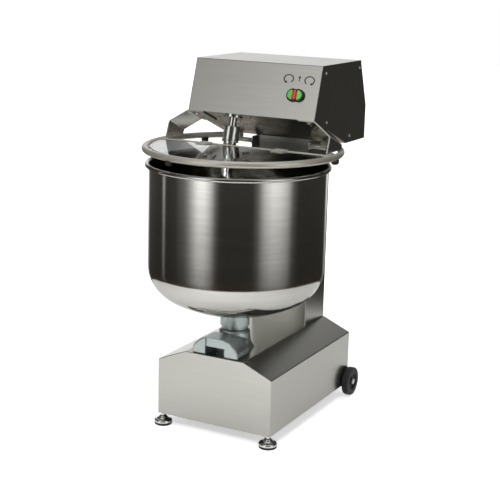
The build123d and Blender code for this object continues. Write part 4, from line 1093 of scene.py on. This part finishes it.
class MIXER_OT_wheels(bpy.types.Operator):
    """Rubber tyres with tread bars on moulded hubs"""

    bl_idname = "mixer.wheels"
    bl_label = "Wheels"

    def execute(self, context):
        for name, side in (("left", -1), ("right", 1)):
            centre = Vector(JOINTS[f"wheel_spin_{name}"]["pos_m"])
            origin = Vector((0, centre.y, centre.z))
            bm = bmesh.new()
            tread = [(r, side * x) for r, x in in_mm(*TYRE_PROFILE)]
            lathed(bm, tread, origin, ACROSS, (0, 0, -1), TREAD_ROWS)
            # every other row of the tread stands lower, which leaves bars across it
            for vert in bm.verts:
                rel = vert.co - origin
                radius = hypot(rel.y, rel.z)
                if radius > 47.5 * MM and side * vert.co.x > 214 * MM:
                    row = round(degrees(atan2(rel.y, -rel.z)) / 360 * TREAD_ROWS)
                    if row % 4 == 2:
                        scale = (radius - TREAD_DEPTH) / radius
                        vert.co.y = origin.y + rel.y * scale
                        vert.co.z = origin.z + rel.z * scale
            body = f"wheel_{name}"
            finished(bm, f"tyre_moulded_{name}", tyre_rubber(), body, [f"tyre_{name}"], 32)
            bm = bmesh.new()
            lathed(bm, [(r, side * x) for r, x in in_mm(*HUB_PROFILE)], origin, ACROSS, UP, 96)
            nodes = [f"wheel_hub_{name}"]
            finished(bm, f"hub_moulded_{name}", black_plastic(), body, nodes, 32)
        dress("wheel_axles", screw_steel())
        return {"FINISHED"}


class MIXER_OT_feet(bpy.types.Operator):
    """Domed levelling feet on rubber pads"""

    bl_idname = "mixer.feet"
    bl_label = "Feet"

    def execute(self, context):
        for name in ("left", "right"):
            centre = middle(f"foot_{name}")
            origin = (centre.x, centre.y, 0)
            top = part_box(f"foot_{name}")[1].z
            profile = in_mm((0, 6), (26, 6)) + arc((22.5 * MM, 11.5 * MM), 6.5 * MM, -55, 85, 12)
            profile += in_mm((19, 19.2), (15.5, 21.4), (13, 25), (11.4, 27.6), (8.5, 28.8), (6, 29))
            profile += [(6 * MM, top), (0, top)]
            pad = in_mm((0, 0), (26, 0), (27.5, 1), (28, 2.5), (28, 6), (0, 6))
            body = f"foot_{name}"
            for shape, title, made_of, slot, node in (
                (profile, "foot_domed", bright_chrome(), "foot_chrome", body),
                (pad, "foot_rubber", black_rubber(), "pad_rubber", f"foot_pad_{name}"),
            ):
                bm = bmesh.new()
                lathed(bm, shape, origin, UP, ACROSS, 64)
                finished(bm, f"{title}_{name}", made_of, body, [node], sharp=50)
        return {"FINISHED"}


class MIXER_OT_inner_parts(bpy.types.Operator):
    """Finishes of the CAD parts that stay as they are: frame, drives, bearings, belts, gland"""

    bl_idname = "mixer.inner_parts"
    bl_label = "Inner parts"

    def execute(self, context):
        finishes = {
            frame_paint: ("base_frame", "column_post"),
            drive_iron: ("bowl_gearmotor", "tool_gearmotor", "bowl_pulley", "bowl_motor_pulley",
                         "tool_pulley", "tool_motor_pulley"),
            turned_steel: ("spindle_housing", "bowl_spindle", "bowl_bearing_lower", "bowl_bearing_upper",
                           "spindle_bearing_lower", "spindle_bearing_upper"),
            black_rubber: ("bowl_drive_belt", "tool_drive_belt"),
            black_plastic: ("cable_gland",),
            box_plastic: ("control_box",),
            screw_steel: ("housing_bolts",),
        }
        for finish, nodes in finishes.items():
            for node in nodes:
                dress(node, finish())
        return {"FINISHED"}


# ---------------------------------------------------------------- stage
CAMERA_AT = Vector((1.7407, -3.3119, 1.4598))
CAMERA_AZIMUTH = radians(27.82)
CAMERA_ELEVATION = radians(13.67)
CAMERA_ROLL = radians(1.449)
LENS = 87.26


def white_paper(name, glow):
    """Matt white paper, lit a little more for the camera so that it stays white to its edge."""
    title = f"white_paper_{name}"
    made_of = grained(title, colours().floor, 3.0, 0.9, 0.05, spread=0.005, Specular_IOR_Level=0.1)
    tree = made_of.node_tree
    path = add(tree, "ShaderNodeLightPath")
    shine = add(
        tree, "ShaderNodeMath", {0: path.outputs["Is Camera Ray"]}, {1: glow}, operation="MULTIPLY"
    )
    tree.links.new(shine.outputs[0], tree.nodes[SHADER].inputs["Emission Strength"])
    tree.nodes[SHADER].inputs["Emission Color"].default_value = (1, 1, 1, 1)
    return made_of


class MIXER_OT_studio(bpy.types.Operator):
    """Pale floor, soft lights and the camera"""

    bl_idname = "mixer.studio"
    bl_label = "Studio"

    def execute(self, context):
        context.scene.view_settings.view_transform = "Standard"
        self.floor(context)
        self.surroundings(context)
        self.lights(context)
        self.camera(context)
        return {"FINISHED"}

    def floor(self, context):
        for name, radius, drop, seen, glow in (
            ("floor_sweep", 1.3, 0.0, True, 0.55),
            ("floor_far", 14.0, 1.5 * MM, False, 1.0),
        ):
            made_of = white_paper(name, glow)
            bm = bmesh.new()
            bmesh.ops.create_circle(
                bm, cap_ends=True, radius=radius, segments=96, matrix=Matrix.Translation((0, 0, -drop))
            )
            mesh = bpy.data.meshes.new(name)
            bm.to_mesh(mesh)
            bm.free()
            mesh.materials.append(made_of)
            piece = bpy.data.objects.new(name, mesh)
            context.scene.collection.objects.link(piece)
            piece.visible_glossy = seen

    def surroundings(self, context):
        """A dark room with two tall soft boxes in front and a white wall behind."""
        world = bpy.data.worlds.new("studio")
        context.scene.world = world
        world.use_nodes = True
        tree = world.node_tree
        for made in list(tree.nodes):
            tree.nodes.remove(made)
        look = add(tree, "ShaderNodeTexCoord").outputs["Generated"]
        turned = add(
            tree, "ShaderNodeVectorRotate", {"Vector": look}, {"Angle": pi / 2 - CAMERA_AZIMUTH},
            rotation_type="Z_AXIS",
        )
        parts = add(tree, "ShaderNodeSeparateXYZ", {"Vector": turned.outputs[0]})
        # angle round from the camera, 0 to 1 for -180 to 180 degrees
        around = add(
            tree, "ShaderNodeMath", {0: parts.outputs["Y"], 1: parts.outputs["X"]}, operation="ARCTAN2"
        )
        azimuth = add(
            tree, "ShaderNodeMapRange", {"Value": around.outputs[0]}, {"From Min": -pi, "From Max": pi}
        )
        height = add(tree, "ShaderNodeMath", {0: parts.outputs["Z"]}, operation="ARCSINE")
        level = add(
            tree, "ShaderNodeMapRange", {"Value": height.outputs[0]}, {"From Min": -pi / 2, "From Max": pi / 2}
        )

        def at(angle):
            return (angle + 180) / 360

        def up(angle):
            return (angle + 90) / 180

        boxes = ramp(
            add(tree, "ShaderNodeValToRGB", {"Fac": azimuth.outputs[0]}),
            [
                (at(angle), value)
                for angle, value in (
                    (-180, 1.0), (-165, 1.0), (-152, 0.06), (-111, 0.02), (-107, 0.6), (-103, 0.02), (-84, 0.04),
                    (-70, 0.2), (-64, 0.45), (-58, 0.95), (-50, 1.7), (-42, 1.75), (-35, 1.15), (-27, 0.2),
                    (-21, 0.03), (20, 0.03), (27, 0.2), (36, 1.0), (46, 1.45), (56, 1.3), (66, 0.85), (75, 0.15),
                    (84, 0.02), (152, 0.02), (162, 0.9), (180, 1.0),
                )
            ],
        )
        fade = ramp(
            add(tree, "ShaderNodeValToRGB", {"Fac": level.outputs[0]}),
            [
                (up(angle), value)
                for angle, value in (
                    (-90, 0.1), (-30, 0.1), (-16, 0.22), (-12.8, 0.5), (-10.5, 1.1), (0, 1.0), (14, 0.85),
                    (28, 0.75), (50, 0.3), (90, 0.2),
                )
            ],
        )
        sides = add(
            tree, "ShaderNodeVectorMath", {0: boxes.outputs[0], 1: fade.outputs[0]}, operation="MULTIPLY"
        )
        # overhead box and the warm wooden floor beyond the paper
        over = ramp(
            add(tree, "ShaderNodeValToRGB", {"Fac": level.outputs[0]}),
            [
                (up(-90), linear("#B9B4AA")), (up(-40), linear("#B9B4AA")), (up(-33), linear("#6A5138")),
                (up(-24), linear("#3A3029")), (up(-14), linear("#2E2C28")), (up(0), linear("#2C2C2A")),
                (up(45), linear("#3A3A38")), (up(62), linear("#A0A09C")), (1.0, (1.0, 1.0, 1.0)),
            ],
        )
        total = add(tree, "ShaderNodeVectorMath", {0: sides.outputs[0], 1: over.outputs[0]}, operation="ADD")
        room = add(tree, "ShaderNodeBackground", {"Color": total.outputs[0]}, {"Strength": 1.0})
        white = add(tree, "ShaderNodeBackground", inputs={"Color": (1, 1, 1, 1), "Strength": 1.0})
        path = add(tree, "ShaderNodeLightPath")
        seen = add(tree, "ShaderNodeMixShader", {0: path.outputs["Is Camera Ray"]})
        tree.links.new(room.outputs[0], seen.inputs[1])
        tree.links.new(white.outputs[0], seen.inputs[2])
        out = add(tree, "ShaderNodeOutputWorld")
        tree.links.new(seen.outputs[0], out.inputs["Surface"])

    def lights(self, context):
        for name, at, size, power in (
            ("front_light", (0.25, -1.5, 1.35), 0.5, 14),
            ("top_light", (0.2, -0.4, 3.4), 2.6, 45),
            ("left_light", (-2.8, -1.4, 2.0), 1.8, 18),
            ("right_light", (3.0, -1.0, 2.2), 1.8, 10),
            ("back_light", (0.0, 2.6, 2.4), 2.0, 14),
        ):
            data = bpy.data.lights.new(name, "AREA")
            data.shape = "DISK"
            data.size = size
            data.energy = power
            lamp = bpy.data.objects.new(name, data)
            context.scene.collection.objects.link(lamp)
            lamp.location = at
            target = Vector((0.1, -1.2, 0)) if name == "front_light" else Vector((0, 0, 0.5))
            lamp.rotation_euler = (target - lamp.location).to_track_quat("-Z", "Y").to_euler()
            lamp.visible_glossy = False
            lamp.visible_camera = False

    def camera(self, context):
        data = bpy.data.cameras.new("camera")
        data.lens = LENS
        data.sensor_width = 36
        data.dof.use_dof = False
        data.clip_end = 60
        view = bpy.data.objects.new("camera", data)
        context.scene.collection.objects.link(view)
        az, el = CAMERA_AZIMUTH, CAMERA_ELEVATION
        back = Vector((sin(az) * cos(el), -cos(az) * cos(el), sin(el)))
        right = (-back).cross(Vector((0, 0, 1))).normalized()
        up = right.cross(-back)
        right_rolled = right * cos(CAMERA_ROLL) + up * sin(CAMERA_ROLL)
        up_rolled = up * cos(CAMERA_ROLL) - right * sin(CAMERA_ROLL)
        turn = Matrix((right_rolled, up_rolled, back)).transposed().to_4x4()
        view.matrix_world = Matrix.Translation(CAMERA_AT) @ turn
        context.scene.camera = view


# ---------------------------------------------------------------- panel and registration
OPERATORS = (
    MIXER_OT_studio,
    MIXER_OT_base_casing,
    MIXER_OT_column_casing,
    MIXER_OT_head_casing,
    MIXER_OT_front_switch,
    MIXER_OT_bowl,
    MIXER_OT_bearing_housing,
    MIXER_OT_guard,
    MIXER_OT_clear_lid,
    MIXER_OT_tool_coupling,
    MIXER_OT_fasteners,
    MIXER_OT_wheels,
    MIXER_OT_feet,
    MIXER_OT_inner_parts,
)


class VIEW3D_PT_mixer(bpy.types.Panel):
    """Lists the mixer's sizes, colours and pieces"""

    bl_label = "Dough mixer"
    bl_space_type = "VIEW_3D"
    bl_region_type = "UI"
    bl_category = "Mixer"

    def draw(self, context):
        for group in (context.scene.mixer_sizes, context.scene.mixer_colours):
            box = self.layout.box()
            for name in group.__annotations__:
                box.prop(group, name)
        for operator in OPERATORS:
            self.layout.operator(operator.bl_idname)


CLASSES = (MixerSizes, MixerColours, *OPERATORS, VIEW3D_PT_mixer)


def register():
    for cls in CLASSES:
        bpy.utils.register_class(cls)
    bpy.types.Scene.mixer_sizes = bpy.props.PointerProperty(type=MixerSizes)
    bpy.types.Scene.mixer_colours = bpy.props.PointerProperty(type=MixerColours)


def unregister():
    del bpy.types.Scene.mixer_colours
    del bpy.types.Scene.mixer_sizes
    for cls in reversed(CLASSES):
        bpy.utils.unregister_class(cls)


def main():
    register()
    for operator in OPERATORS:
        group, name = operator.bl_idname.split(".")
        getattr(getattr(bpy.ops, group), name)()


if __name__ == "__main__":
    main()
